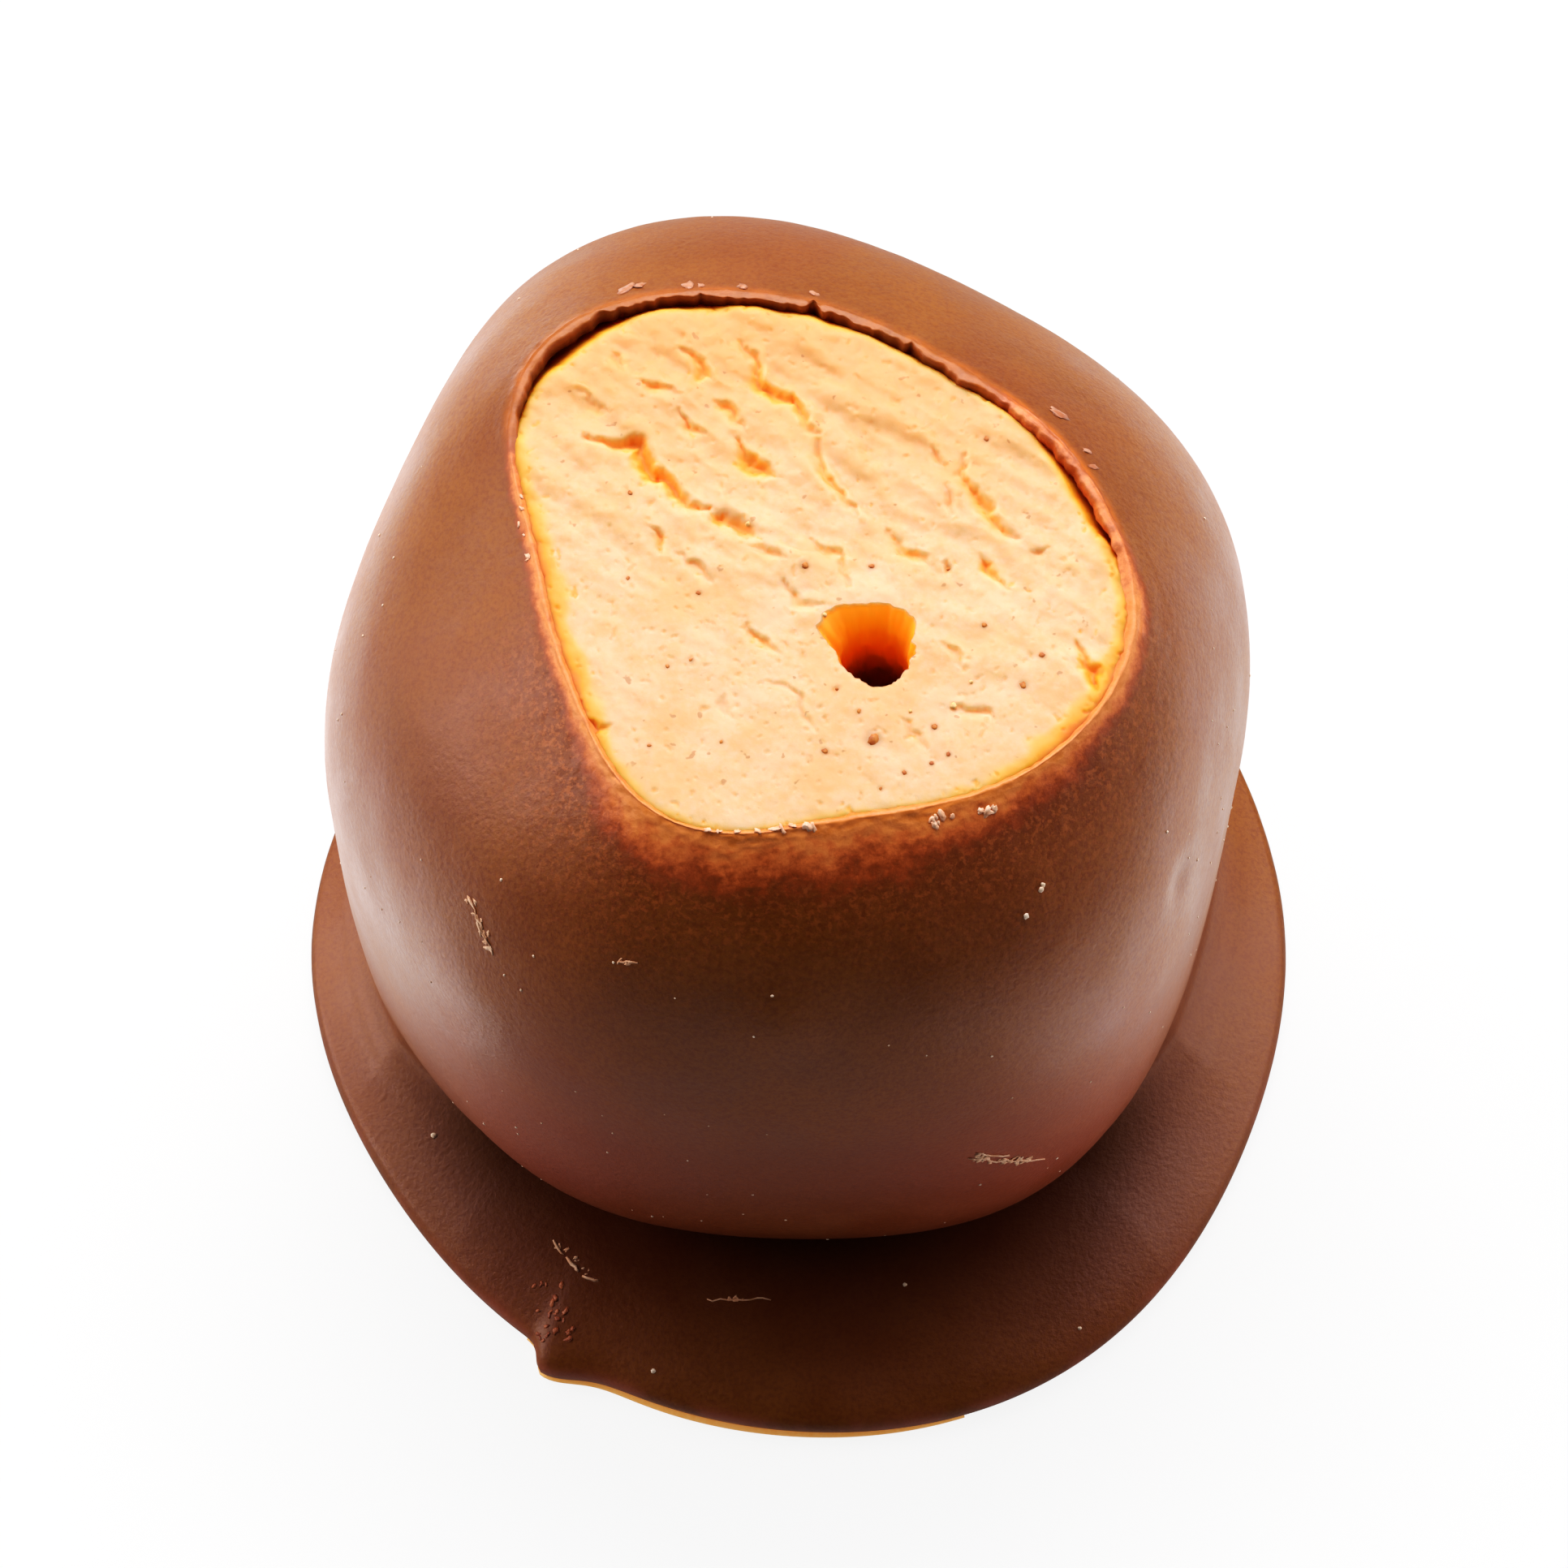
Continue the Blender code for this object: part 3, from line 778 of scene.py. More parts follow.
# width, depth, lift of the ridge on its upper right side, then the way across the top
cracks = (
    (0.26, 0.42, 0.10, (
        (-6.1, 3.9), (-5.6, 3.7), (-4.9, 3.6), (-4.6, 3.6), (-4.5, 3.2), (-4.2, 2.6), (-3.8, 2.3),
        (-3.5, 1.8), (-3.1, 1.5), (-2.6, 1.3),
    )),
    (0.2, 0.22, 0.08, ((-4.6, 5.9), (-4.2, 5.7), (-3.6, 5.4))),
    (0.2, 0.25, 0.08, ((-3.3, 7.0), (-2.9, 6.7), (-2.7, 6.1), (-2.5, 5.9))),
    (0.2, 0.22, 0.08, ((-2.2, 5.1), (-1.9, 4.9), (-1.5, 4.2))),
    (0.18, 0.2, 0.06, ((-3.4, 4.8), (-3.2, 4.3), (-2.6, 4.0))),
    (0.24, 0.36, 0.1, ((-1.7, 3.7), (-1.2, 2.9), (-0.6, 2.5))),
    (0.22, 0.28, 0.12, (
        (-1.6, 7.2), (-1.2, 6.7), (-1.0, 5.9), (-0.5, 5.4), (0.1, 5.1), (0.4, 4.3), (0.8, 4.0),
    )),
    (0.16, 0.2, 0.05, ((-4.3, 0.6), (-4.0, 0.3), (-4.0, -0.2))),
    (0.16, 0.16, 0.05, ((-3.3, -0.3), (-2.8, -0.7), (-2.4, -1.2))),
    (0.16, 0.16, 0.05, ((-1.1, 0.0), (-0.2, -0.4))),
    (0.16, 0.14, 0.05, ((-6.5, 5.5), (-5.9, 4.9), (-5.5, 4.7))),
    (0.16, 0.14, 0.05, ((-5.4, 6.9), (-5.1, 6.3))),
    (0.18, 0.22, 0.08, ((0.7, 3.7), (0.8, 2.9), (1.2, 2.2), (1.5, 1.8), (1.9, 1.1))),
    (0.16, 0.16, 0.05, ((4.1, 3.5), (4.5, 2.9))),
    (0.2, 0.26, 0.08, ((5.2, 3.1), (5.0, 2.5), (5.4, 1.9), (5.7, 1.5), (5.9, 1.1), (6.3, 0.6), (6.6, 0.4))),
    (0.15, 0.16, 0.05, ((4.6, 2.1), (4.7, 1.1))),
    (0.2, 0.22, 0.06, ((5.6, -0.3), (5.8, -0.7), (6.3, -1.3))),
    (0.2, 0.22, 0.06, ((2.9, 0.5), (3.3, -0.1), (3.7, -0.3), (4.0, -0.6))),
    (0.18, 0.18, 0.05, ((4.4, -0.6), (4.7, -0.8))),
    (0.14, 0.14, 0.04, ((7.1, -0.1), (7.5, 0.0))),
    (0.18, 0.18, 0.06, ((0.6, 0.3), (1.0, -0.2), (1.4, -0.3), (1.7, -1.5))),
    (0.2, 0.16, 0.08, ((-0.3, -1.2), (0.1, -1.9), (0.8, -2.0))),
    (0.18, 0.2, 0.05, ((-1.4, -2.7), (-1.1, -3.1), (-0.8, -3.4), (-0.4, -3.7))),
    (0.13, 0.1, 0.04, ((-0.8, -4.6), (-0.2, -4.8), (0.2, -5.2), (0.5, -5.9), (0.6, -6.2))),
    (0.13, 0.1, 0.04, ((-2.0, -5.0), (-2.1, -5.5), (-1.8, -5.7))),
    (0.16, 0.16, 0.04, ((-6.1, -5.9), (-5.7, -6.1), (-5.4, -6.0))),
    (0.15, 0.16, 0.04, ((4.6, -5.4), (5.2, -5.5), (5.7, -5.6), (5.9, -5.8))),
    (0.24, 0.3, 0.05, ((8.4, -3.3), (8.6, -3.9), (8.8, -4.3), (8.9, -4.7))),
    (0.15, 0.12, 0.04, ((3.2, -5.9), (3.6, -6.3), (3.9, -6.7))),
    (0.16, 0.14, 0.06, ((4.4, -3.2), (4.8, -3.7), (5.0, -4.2))),
)
# place, radii, turn in degrees, depth
pits = (
    ((-1.6, 0.65), (0.7, 0.26), -32, 0.75),
    ((-2.3, 0.85), (0.28, 0.2), 0, 0.4),
)


def fillingMaterial():
    material, tree, shader = newMaterial("peanutButter")
    look = grain(tree, filling["grainScale"], filling["mottleScale"])
    mottle = mapRange(tree, look.outputs["Mottle"], 0.38, 0.62)
    crevice = attribute(tree, "crevice")
    tone = layered(tree, mixColour(tree, mottle, filling["colour"], filling["pale"]), (
        (patches(tree, *filling["warmPatches"]), filling["warm"]),
        (attribute(tree, "backWarmth"), filling["warm"]),
        (patches(tree, *filling["freckles"]), filling["speck"]),
        # painted glow and shade in the cracks, pits and the hole
        (mapRange(tree, crevice, 0.02, 0.3), ramp(tree, crevice, filling["creviceGlowAndShade"])),
        (attribute(tree, "brownSpeck"), filling["speck"]),
    ))
    link(tree, tone, shader.inputs["Base Color"])
    setInputs(shader, filling["surface"])
    # painted glow: the hole's back wall gives off light
    glow = mixColour(tree, attribute(tree, "holeGlow"), (0.0, 0.0, 0.0), filling["holeGlow"])
    link(tree, glow, shader.inputs["Emission Color"])
    addBump(tree, shader, look.outputs["Height"], filling["bump"], filling["bumpDistance"])
    return material


def nearLine(x, y, route):
    # distance to a route, which side of it, and how far along, for every point
    best = np.full(x.shape, 1e9)
    side = np.zeros(x.shape)
    along = np.zeros(x.shape)
    steps = len(route) - 1
    for i, ((ax, ay), (bx, by)) in enumerate(zip(route, route[1:])):
        dx, dy = bx - ax, by - ay
        t = np.clip(((x - ax) * dx + (y - ay) * dy) / (dx * dx + dy * dy), 0, 1)
        ex, ey = x - ax - t * dx, y - ay - t * dy
        away = np.hypot(ex, ey)
        closer = away < best
        best = np.where(closer, away, best)
        side = np.where(closer, np.sign(dx * ey - dy * ex), side)
        along = np.where(closer, (i + t) / steps, along)
    return best, side, along


# brown specks of peanut skin: place on the top, size
skinSpecks = (
    (2.3, -6.5, 0.22), (6.7, -4.7, 0.12), (0.9, -6.9, 0.1), (4.1, -6.1, 0.11), (4.0, -7.3, 0.08),
    (4.5, -7.0, 0.08), (0.3, -0.7, 0.12), (2.3, -0.7, 0.1), (5.6, -2.7, 0.09), (7.3, -3.7, 0.1),
    (1.9, -5.6, 0.08), (1.3, -4.8, 0.07), (2.5, -8.1, 0.07), (3.2, -7.6, 0.08), (4.6, -0.7, 0.1),
    (-4.9, 1.8, 0.09), (-2.8, -1.6, 0.08), (-4.9, -1.1, 0.07), (5.8, 3.8, 0.09), (-3.0, -3.9, 0.08),
    (-3.7, -4.1, 0.07), (-4.2, -6.7, 0.07), (-2.1, -6.6, 0.06),
)


def fillingEdge(angles):
    # where the top meets the lip: under the feather edge, or short of the crisp one by the gap
    lip = wave(window["lip"], angles)
    crisp = byAngle(window["crisp"], angles)
    gap = byAngle(window["gap"], angles)
    outer = shoulder(angles, 0.0)
    radii = np.hypot(outer[:, 0] - window["centre"][0], outer[:, 1] - window["centre"][1])
    return radii - crisp * (lip * 0.6 + gap) - (1 - crisp) * 0.02


def topRelief(x, y):
    # height of the filling's top over a plane, and how deep each point sits in a crevice
    cx, cy = window["centre"]
    angles = np.arctan2(y - cy, x - cx) % tau
    edge = fillingEdge(angles)
    share = np.hypot(x - cx, y - cy) / edge
    toEdge = np.clip(edge * (1 - share), 0, None)
    crisp = byAngle(window["crisp"], angles)
    gap = byAngle(window["gap"], angles)
    height = filling["topHeight"] + filling["dome"] * (1 - share**2)
    height += (1 - crisp) * 0.06
    roll = crisp * np.exp(-toEdge / 0.15)
    height -= roll * (0.05 + 0.25 * gap)
    # painted glow and shade where the top rolls down into the gap by the crisp lip
    crevice = crisp * np.exp(-toEdge / 0.2) * (0.32 + 0.4 * gap)
    height -= (1 - crisp) * 0.14 * np.exp(-toEdge / 0.1)
    # soaked with colour along the feathered rim, unevenly, less in front
    flat = np.stack((x, y, np.zeros_like(x)), axis=-1)
    border = np.clip(toEdge * (1 + 0.5 * fractal(flat, 0.95, 2, 19)), 0, None)
    inFront = ease((-np.sin(angles) - 0.6) / 0.35)
    crevice += (1 - crisp) * (0.8 - 0.4 * inFront) * np.exp(-((border / (0.5 - 0.2 * inFront)) ** 1.3))
    wobbles = []
    for seed in (11, 12):
        wobbles.append(fractal(flat, 0.6, 2, seed) * 0.16 + fractal(flat, 0.22, 2, seed + 2) * 0.05)
    upper = ease((y + 4.5 + 0.3 * x) / 5.0)  # the back half is the crumbly one
    # lumps lie in slanting strips, from the upper left to the lower right
    slant = np.stack((x * 0.62 + y * 0.78, (y * 0.62 - x * 0.78) * 0.45, np.zeros_like(x)), axis=-1)
    lumps = fractal(slant, 1.5, 2, 5)
    steps = fractal(slant, 0.75, 2, 6)
    plateau = np.tanh(lumps * 1.6) * 0.5 + np.tanh(steps * 1.6) * 0.35
    height += filling["lumps"] * plateau * (0.35 + 0.85 * upper)
    crevice += np.clip(-plateau - 0.1, 0, 0.6) * 0.16 * upper
    crumbs = fractal(flat, 0.42, 2, 7)
    height += filling["crumb"] * crumbs * (0.6 + 0.6 * upper)
    pores = fractal(flat, 0.24, 2, 8)
    pore = np.clip((pores - 0.45) / 0.3, 0, 1)
    height -= 0.04 * pore
    crevice += 0.14 * pore

    wx, wy = x + wobbles[0], y + wobbles[1]
    for width, depth, lift, route in cracks:
        away, side, along = nearLine(wx, wy, route)
        swell = 0.4 + 0.6 * np.sin(math.pi * np.clip(along, 0.02, 0.98))
        # steep on the upper right side, where the ridge stands, gentler on the other
        reach = np.where(side > 0, width * 0.65, width * 1.15) * swell
        cut = np.exp(-((away / reach) ** 2)) * swell
        height -= depth * 0.85 * cut
        crevice += np.exp(-((away / (reach * 1.35)) ** 2)) * swell * np.clip(depth * 1.1, 0, 0.4)
        ridge = np.exp(-(((away - width * 0.8) / (width * 0.9)) ** 2)) * (side > 0) * swell
        height += lift * 0.6 * ridge
    for (px, py), (rx, ry), turn, depth in pits:
        c, s = math.cos(math.radians(turn)), math.sin(math.radians(turn))
        u = ((wx - px) * c + (wy - py) * s) / rx
        v = (-(wx - px) * s + (wy - py) * c) / ry
        cut = np.exp(-((u * u + v * v) ** 1.3))
        height -= depth * 0.45 * cut
        crevice += cut * 0.28
    return height, crevice


def mouthLine(turns):
    # the mouth isn't round: crumbled away at the back left, ragged with teeth in front
    ring = outward(turns)
    reach = byAngle(filling["mouth"], turns) + 0.09 * fractal(ring, 0.2, 2, 17)
    return reach + 0.06 * fractal(ring, 0.5, 1, 18)


def holeEdge(turns, radius):
    x, y = filling["bore"]
    return x + radius * np.cos(turns), y + radius * np.sin(turns)


def makeFilling():
    rimCount, holeCount, wallRows, sideRows, hollowRows = 720, 180, 26, 8, 5
    cx, cy = window["centre"]
    hx, hy = filling["bore"]
    rimAngles, holeTurns = evenAngles(rimCount), evenAngles(holeCount)
    edge = fillingEdge(rimAngles)
    mouth = mouthLine(holeTurns)

    # points of the top: rings along the rim and round the hole's mouth, and a staggered grid between
    insets = (0, 0.05, 0.11)
    rings = [(cx + (edge - d) * np.cos(rimAngles), cy + (edge - d) * np.sin(rimAngles)) for d in insets]
    rings += [holeEdge(holeTurns, mouth + d) for d in insets]
    step = filling["spacing"]
    rows = np.arange(-12, 12, step * math.sqrt(3) / 2)
    grid = [(x + (step / 2 if i % 2 else 0), y) for i, y in enumerate(rows) for x in np.arange(-12, 12, step)]
    grid = np.array(grid)
    draw = np.random.default_rng(5)
    grid += draw.uniform(-0.22, 0.22, grid.shape) * step
    angles = np.arctan2(grid[:, 1] - cy, grid[:, 0] - cx) % tau
    edgeThere = np.interp(angles, rimAngles, edge, period=tau)
    turns = np.arctan2(grid[:, 1] - hy, grid[:, 0] - hx)
    inside = np.hypot(grid[:, 0] - cx, grid[:, 1] - cy) < edgeThere - 0.15
    inside &= np.hypot(grid[:, 0] - hx, grid[:, 1] - hy) > mouthLine(turns) + 0.15
    grid = grid[inside]
    x = np.concatenate([ring[0] for ring in rings] + [grid[:, 0]])
    y = np.concatenate([ring[1] for ring in rings] + [grid[:, 1]])
    flat = [Vector((a, b)) for a, b in zip(x.tolist(), y.tolist())]
    _, _, triangles, _, _, _ = geometry.delaunay_2d_cdt(flat, [], [], 0, 1e-7)
    holeStart = len(insets) * rimCount
    faces = []
    for tri in triangles:
        if all(v < rimCount for v in tri):
            continue  # slivers across the outline's hollows
        if all(holeStart <= v < holeStart + holeCount for v in tri):
            continue  # the hole itself
        faces.append(tuple(tri))
    height, crevice = topRelief(x, y)
    points = np.stack((x, y, height), axis=-1)
    print(f"filling top: {len(x)} points, {len(faces)} triangles")

    # hole: down the wall to a blunt end
    first = len(points)
    tops = height[holeStart:holeStart + holeCount]
    bottomHeight = filling["topHeight"] - filling["holeDepth"]
    walls, wallCrevice, wallGlow = [], [], []
    for i in range(1, wallRows + 1):
        t = (i / wallRows) ** 1.3
        radius = filling["boreRadius"] + (mouth - filling["boreRadius"]) * math.exp(-t * 11)
        if t > 0.93:
            radius = radius * math.sqrt(max(1 - ((t - 0.93) / 0.09) ** 2, 0.05))
        wx, wy = holeEdge(holeTurns, radius)
        z = tops + (bottomHeight - tops) * t
        wall = np.stack((wx, wy, z), axis=-1)
        rough = fractal(wall, 0.5, 3, 9) * 0.11 * min(i / 4, 1)
        wall += outward(holeTurns) * rough[:, None]
        walls.append(wall)
        # darker the deeper in the hole: painted shade
        wallCrevice.append(np.full(holeCount, min(0.32 + 2.1 * t, 1.0)))
        depth = tops - z
        # painted glow on the hole's back wall, fading with depth
        backWall = ease((np.sin(holeTurns + 0.25) + 0.3) / 0.9)
        wallGlow.append(backWall * ease(depth / 0.1) * np.exp(-((depth / 1.15) ** 1.5)))
    wallRings = [list(range(holeStart, holeStart + holeCount))] + evenRings(first, wallRows, holeCount)
    faces += [(b, a, d, c) for a, b, c, d in ringFaces(wallRings)]
    points = np.concatenate([points] + walls + [[[hx, hy, bottomHeight]]])
    crevice = np.concatenate([crevice] + wallCrevice + [[1.0]])
    holeGlow = np.concatenate([np.zeros(first)] + wallGlow)
    bottom = len(points) - 1
    faces += [(b, a, bottom) for a, b in zip(wallRings[-1], turned(wallRings[-1]))]

    # side: down inside the coat to the flat underneath
    first = len(points)
    side = [innerWall(rimAngles, i / sideRows, filling["gap"]) for i in range(1, sideRows)]
    side += [hollow(rimAngles, i / hollowRows, filling["gap"]) for i in range(hollowRows)]
    points = np.concatenate([points] + side + [[[0, 0, ball["hollowFloor"] + filling["gap"]]]])
    sideRings = [list(range(rimCount))] + evenRings(first, len(side), rimCount)
    faces += [(a, d, c, b) for a, b, c, d in ringFaces(sideRings)]
    bottom = len(points) - 1
    faces += [(a, bottom, b) for a, b in zip(sideRings[-1], turned(sideRings[-1]))]

    brown = np.zeros(len(points))
    for sx, sy, size in skinSpecks:
        away = np.hypot(points[:, 0] - sx, points[:, 1] - sy)
        brown = np.maximum(brown, np.clip((size * 1.7 - away) / (size * 0.8), 0, 1) * 0.35)
    values = {
        "backWarmth": np.clip((points[:, 1] + 0.5) / 10, 0, 0.85),
        "crevice": np.clip(np.concatenate((crevice, np.full(len(points) - len(crevice), 0.6))), 0, 1),
        "brownSpeck": brown,
        "holeGlow": np.concatenate((holeGlow, np.zeros(len(points) - len(holeGlow)))),
    }
    piece = addMesh("peanutButterFilling", points, faces, fillingMaterial(), values)
    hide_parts("peanut_butter_filling")
    return piece


coatPiece = makeCoat()
fillingPiece = makeFilling()


# small loose things, each lying on the surface below it


def surfaceTree(piece):
    data = piece.data
    points = [v.co * 1000 + shift for v in data.vertices]
    return BVHTree.FromPolygons(points, [tuple(p.vertices) for p in data.polygons])


coatTree = surfaceTree(coatPiece)
fillingTree = surfaceTree(fillingPiece)


def blobShape():
    # points and faces of a small ball
    rings, sides = 5, 9
    points = []
    for row in range(rings):
        lift = math.pi * (0.5 - (row + 1) / (rings + 1))
        wide = math.cos(lift)
        for i in range(sides):
            a = tau * i / sides
            points.append(Vector((math.cos(a) * wide, math.sin(a) * wide, math.sin(lift))))
    points += [Vector((0, 0, 1)), Vector((0, 0, -1))]
    faces = latheFaces(rings, sides)
    top, bottom, last = rings * sides, rings * sides + 1, (rings - 1) * sides
    for i in range(sides):
        j = (i + 1) % sides
        faces += [(top, j, i), (bottom, last + i, last + j)]
    return points, faces


blobPoints, blobFaces = blobShape()


def newStore():
    return {"points": [], "faces": []}


def addTo(store, points, faces):
    start = len(store["points"])
    store["points"] += [tuple(p) for p in points]
    store["faces"] += [tuple(start + v for v in face) for face in faces]


def addBlob(store, tree, place, size, seed, flatness, stretch, turn, sink, rough):
    # an uneven crumb, partly sunk into the surface nearest to its place
    spot, normal, _, _ = tree.find_nearest(Vector(place))
    normal = normal.normalized()
    side = normal.orthogonal().normalized()
    side.rotate(Quaternion(normal, turn))
    other = normal.cross(side)
    move = Vector((seed * 1.7, seed * 0.9, seed * 2.3))
    points = []
    for p in blobPoints:
        k = 1 + rough * noise.noise(p * 1.9 + move)
        up = p.z * k * flatness + flatness * (0.5 - sink)
        points.append(spot + (side * (p.x * k * stretch) + other * (p.y * k) + normal * up) * size)
    addTo(store, points, blobFaces)


# each small piece's slot and material, with its two colours and its roughness
smallLooks = {
    "peanutSkinSpecks": ("peanut_butter", "peanutSkin", (0.42, 0.09, 0.012), (0.62, 0.2, 0.03), 0.5),
    "rimCrumbs": ("milk_chocolate", "paleCrumb", (0.9, 0.42, 0.24), (0.95, 0.6, 0.42), 0.5),
    "lipBeads": ("milk_chocolate", "paleBead", (0.6, 0.27, 0.17), (0.46, 0.15, 0.07), 0.32),
    "burrFlakes": ("milk_chocolate", "redFlake", (0.3, 0.06, 0.02), (0.55, 0.17, 0.07), 0.45),
    # partly painted glints: crumbs whose pale colour stands in for glints
    "coatDustAndGlints": ("milk_chocolate", "paleDustAndGlints", (0.85, 0.6, 0.42), (0.95, 0.75, 0.6), 0.6),
    "scuffFlakes": ("milk_chocolate", "scuffedChocolate", (0.72, 0.36, 0.2), (0.86, 0.54, 0.36), 0.55),
    "fillingCrumbs": ("peanut_butter", "fillingCrumb", (0.95, 0.6, 0.28), (0.9, 0.5, 0.18), 0.6),
    "amberCrescent": ("peanut_butter", "amberCrescent", (0.95, 0.5, 0.16), (1.0, 0.6, 0.25), 0.3),
}


def addSmall(name, store, glow=None):
    slotName, materialName, colour, other, roughness = smallLooks[name]
    material, tree, shader = newMaterial(materialName)
    look = grain(tree, 6000, 2600)
    tone = mixColour(tree, mapRange(tree, look.outputs["Mottle"], 0.4, 0.6), colour, other)
    link(tree, tone, shader.inputs["Base Color"])
    setInputs(shader, {"Roughness": roughness, **(glow or {})})
    addBump(tree, shader, look.outputs["Height"], 0.3, 0.00003)
    addMesh(name, store["points"], store["faces"], material)


def makeSpecks():
    store = newStore()
    top = filling["topHeight"]
    for i, (x, y, size) in enumerate(skinSpecks):
        addBlob(store, fillingTree, (x, y, top), size * 0.8, i, 0.35, 1.2, i * 1.3, 0.45, 0.5)
    addSmall("peanutSkinSpecks", store)


def makeRimCrumbs():
    store = newStore()
    draw = random.Random(21)
    # rows of crumbs along the rim: first and last place, count, size
    runs = (
        ((-2.6, -9.5), (-1.4, -9.55), 5, 0.13),
        ((-1.2, -9.5), (-0.2, -9.45), 5, 0.12),
        ((0.0, -9.35), (0.8, -9.3), 4, 0.1),
        ((3.9, -9.3), (4.6, -9.1), 6, 0.1),
        ((5.3, -9.0), (6.1, -8.8), 7, 0.1),
        ((-8.2, 2.0), (-8.0, -0.9), 6, 0.09),
    )
    for (ax, ay), (bx, by), count, size in runs:
        for i in range(count):
            t = (i + draw.uniform(0.2, 0.8)) / count
            x = ax + (bx - ax) * t + draw.uniform(-0.12, 0.12)
            y = ay + (by - ay) * t + draw.uniform(-0.14, 0.14)
            width = size * draw.uniform(0.3, 0.9)
            stretch, turn = draw.uniform(1, 2.4), draw.uniform(0, 3)
            addBlob(store, coatTree, (x, y, 24.7), width, i + x, 0.4, stretch, turn, 0.35, 1.1)
    addSmall("rimCrumbs", store)


def makeLipBeads():
    store = newStore()
    # place, size, stretch
    beads = (
        (-5.1, 9.5, 0.22, 1.8), (-4.7, 9.6, 0.16, 1.3), (-3.2, 9.35, 0.2, 1.5), (-2.8, 9.3, 0.13, 1.2),
        (-1.55, 9.25, 0.15, 1.4), (0.65, 9.15, 0.14, 1.2), (8.15, 5.07, 0.2, 1.6), (8.0, 5.3, 0.1, 1.0),
        (8.9, 3.6, 0.13, 1.3), (9.0, 2.9, 0.12, 1.4),
    )
    for i, (x, y, size, stretch) in enumerate(beads):
        addBlob(store, coatTree, (x, y, 24.5), size * 0.85, i * 2, 0.3, stretch * 1.2, 0.3 * i, 0.5, 0.9)
    addSmall("lipBeads", store)


# tiny pale specks of dried chocolate and sugar over the coat, their pale colour partly a painted glint, and
# scuffed grain at the foot's burr
dustAndGlints = {
    # the specks that the photo shows: place, size
    "known": (
        (7.21, -10.26, 22.45, 0.09), (6.77, -10.92, 22.02, 0.09), (7.26, -10.15, 22.53, 0.07),
        (3.62, -13.92, 1.43, 0.07), (-11.74, -8.65, 1.39, 0.1), (9.23, -15.31, 1.11, 0.06),
        (-4.48, -16.79, 1.12, 0.08), (2.5, -13.9, 11.5, 0.08),
    ),
    "count": 150,
    "sizes": (0.02, 0.045),
    "heights": (2.5, 24),
    "burrPlace": (-7.75, -15.0, 1.3),
    "burrCount": 26,
    "burrSizes": (0.04, 0.09),
}


def makeDustAndGlints():
    store, burr = newStore(), newStore()
    draw = random.Random(8)
    for i, (x, y, z, size) in enumerate(dustAndGlints["known"]):
        addBlob(store, coatTree, (x, y, z), size, i, 0.6, 1.1, i, 0.25, 0.5)
    bx, by, bz = dustAndGlints["burrPlace"]
    for i in range(dustAndGlints["burrCount"]):
        place = (bx + draw.uniform(-0.7, 0.7), by + draw.uniform(-0.8, 1.2), bz)
        size = draw.uniform(*dustAndGlints["burrSizes"])
        stretch, turn = draw.uniform(1, 2.2), draw.uniform(0, 3)
        addBlob(burr, coatTree, place, size, i + 40, 0.5, stretch, turn, 0.4, 0.9)
    addSmall("burrFlakes", burr)
    for i in range(dustAndGlints["count"]):
        angle = draw.uniform(0, tau)
        height = draw.uniform(*dustAndGlints["heights"])
        place = (15 * math.cos(angle), 15 * math.sin(angle), height)
        addBlob(store, coatTree, place, draw.uniform(*dustAndGlints["sizes"]), i, 0.6, 1.2, i, 0.2, 0.4)
    addSmall("coatDustAndGlints", store)


# ragged pale scuffs on the front and the foot
scuffs = {
    # lacy bits: first and last place, count, spread, size, seed
    "flecks": (
        ((-9.5, -9.5, 20.3), (-8.95, -10.7, 19.6), 20, 0.15, 0.075, 31),
        ((-5.1, -12.15, 21.5), (-4.7, -12.2, 21.5), 5, 0.05, 0.05, 32),
        ((5.5, -14.1, 12.1), (7.3, -13.3, 10.0), 30, 0.14, 0.1, 33),
        ((-7.7, -12.4, 1.4), (-6.5, -13.7, 1.4), 12, 0.16, 0.05, 34),
        ((-2.6, -14.45, 1.4), (-1.6, -14.42, 1.4), 7, 0.07, 0.05, 35),
    ),
    "zigzag": (
        (-9.62, -9.43, 20.32), (-9.4, -9.8, 20.2), (-9.35, -9.95, 20.0),
        (-9.05, -10.0, 19.9), (-9.2, -10.35, 19.8), (-8.95, -10.7, 19.66),
    ),
    # curled flakes: first and last place, points, sway, width, lift, seeded from 2 on
    "slivers": (
        ((-9.3, -10.0, 20.0), (-9.25, -10.4, 19.7), 4, 0.06, 0.07, 0.06),
        ((-5.11, -12.13, 21.47), (-4.56, -12.24, 21.59), 5, 0.03, 0.04, 0.03),
        ((5.38, -14.17, 12.15), (7.75, -13.07, 9.48), 12, 0.07, 0.06, 0.05),
        ((5.5, -14.1, 12.3), (6.6, -13.7, 11.3), 7, 0.08, 0.06, 0.06),
        ((-2.8, -14.45, 1.42), (-0.7, -14.42, 1.42), 10, 0.05, 0.03, 0.03),
        ((-7.75, -12.3, 1.42), (-7.4, -12.9, 1.42), 5, 0.07, 0.05, 0.06),
        ((-7.3, -13.0, 1.42), (-6.9, -13.5, 1.42), 5, 0.07, 0.06, 0.06),
        ((-6.8, -13.6, 1.42), (-6.3, -13.75, 1.42), 5, 0.06, 0.05, 0.06),
    ),
}


def between(a, b, t, sway, draw):
    # a place part of the way from a to b, a little off the line
    return tuple(a[k] + (b[k] - a[k]) * t + draw.uniform(-sway, sway) for k in range(3))


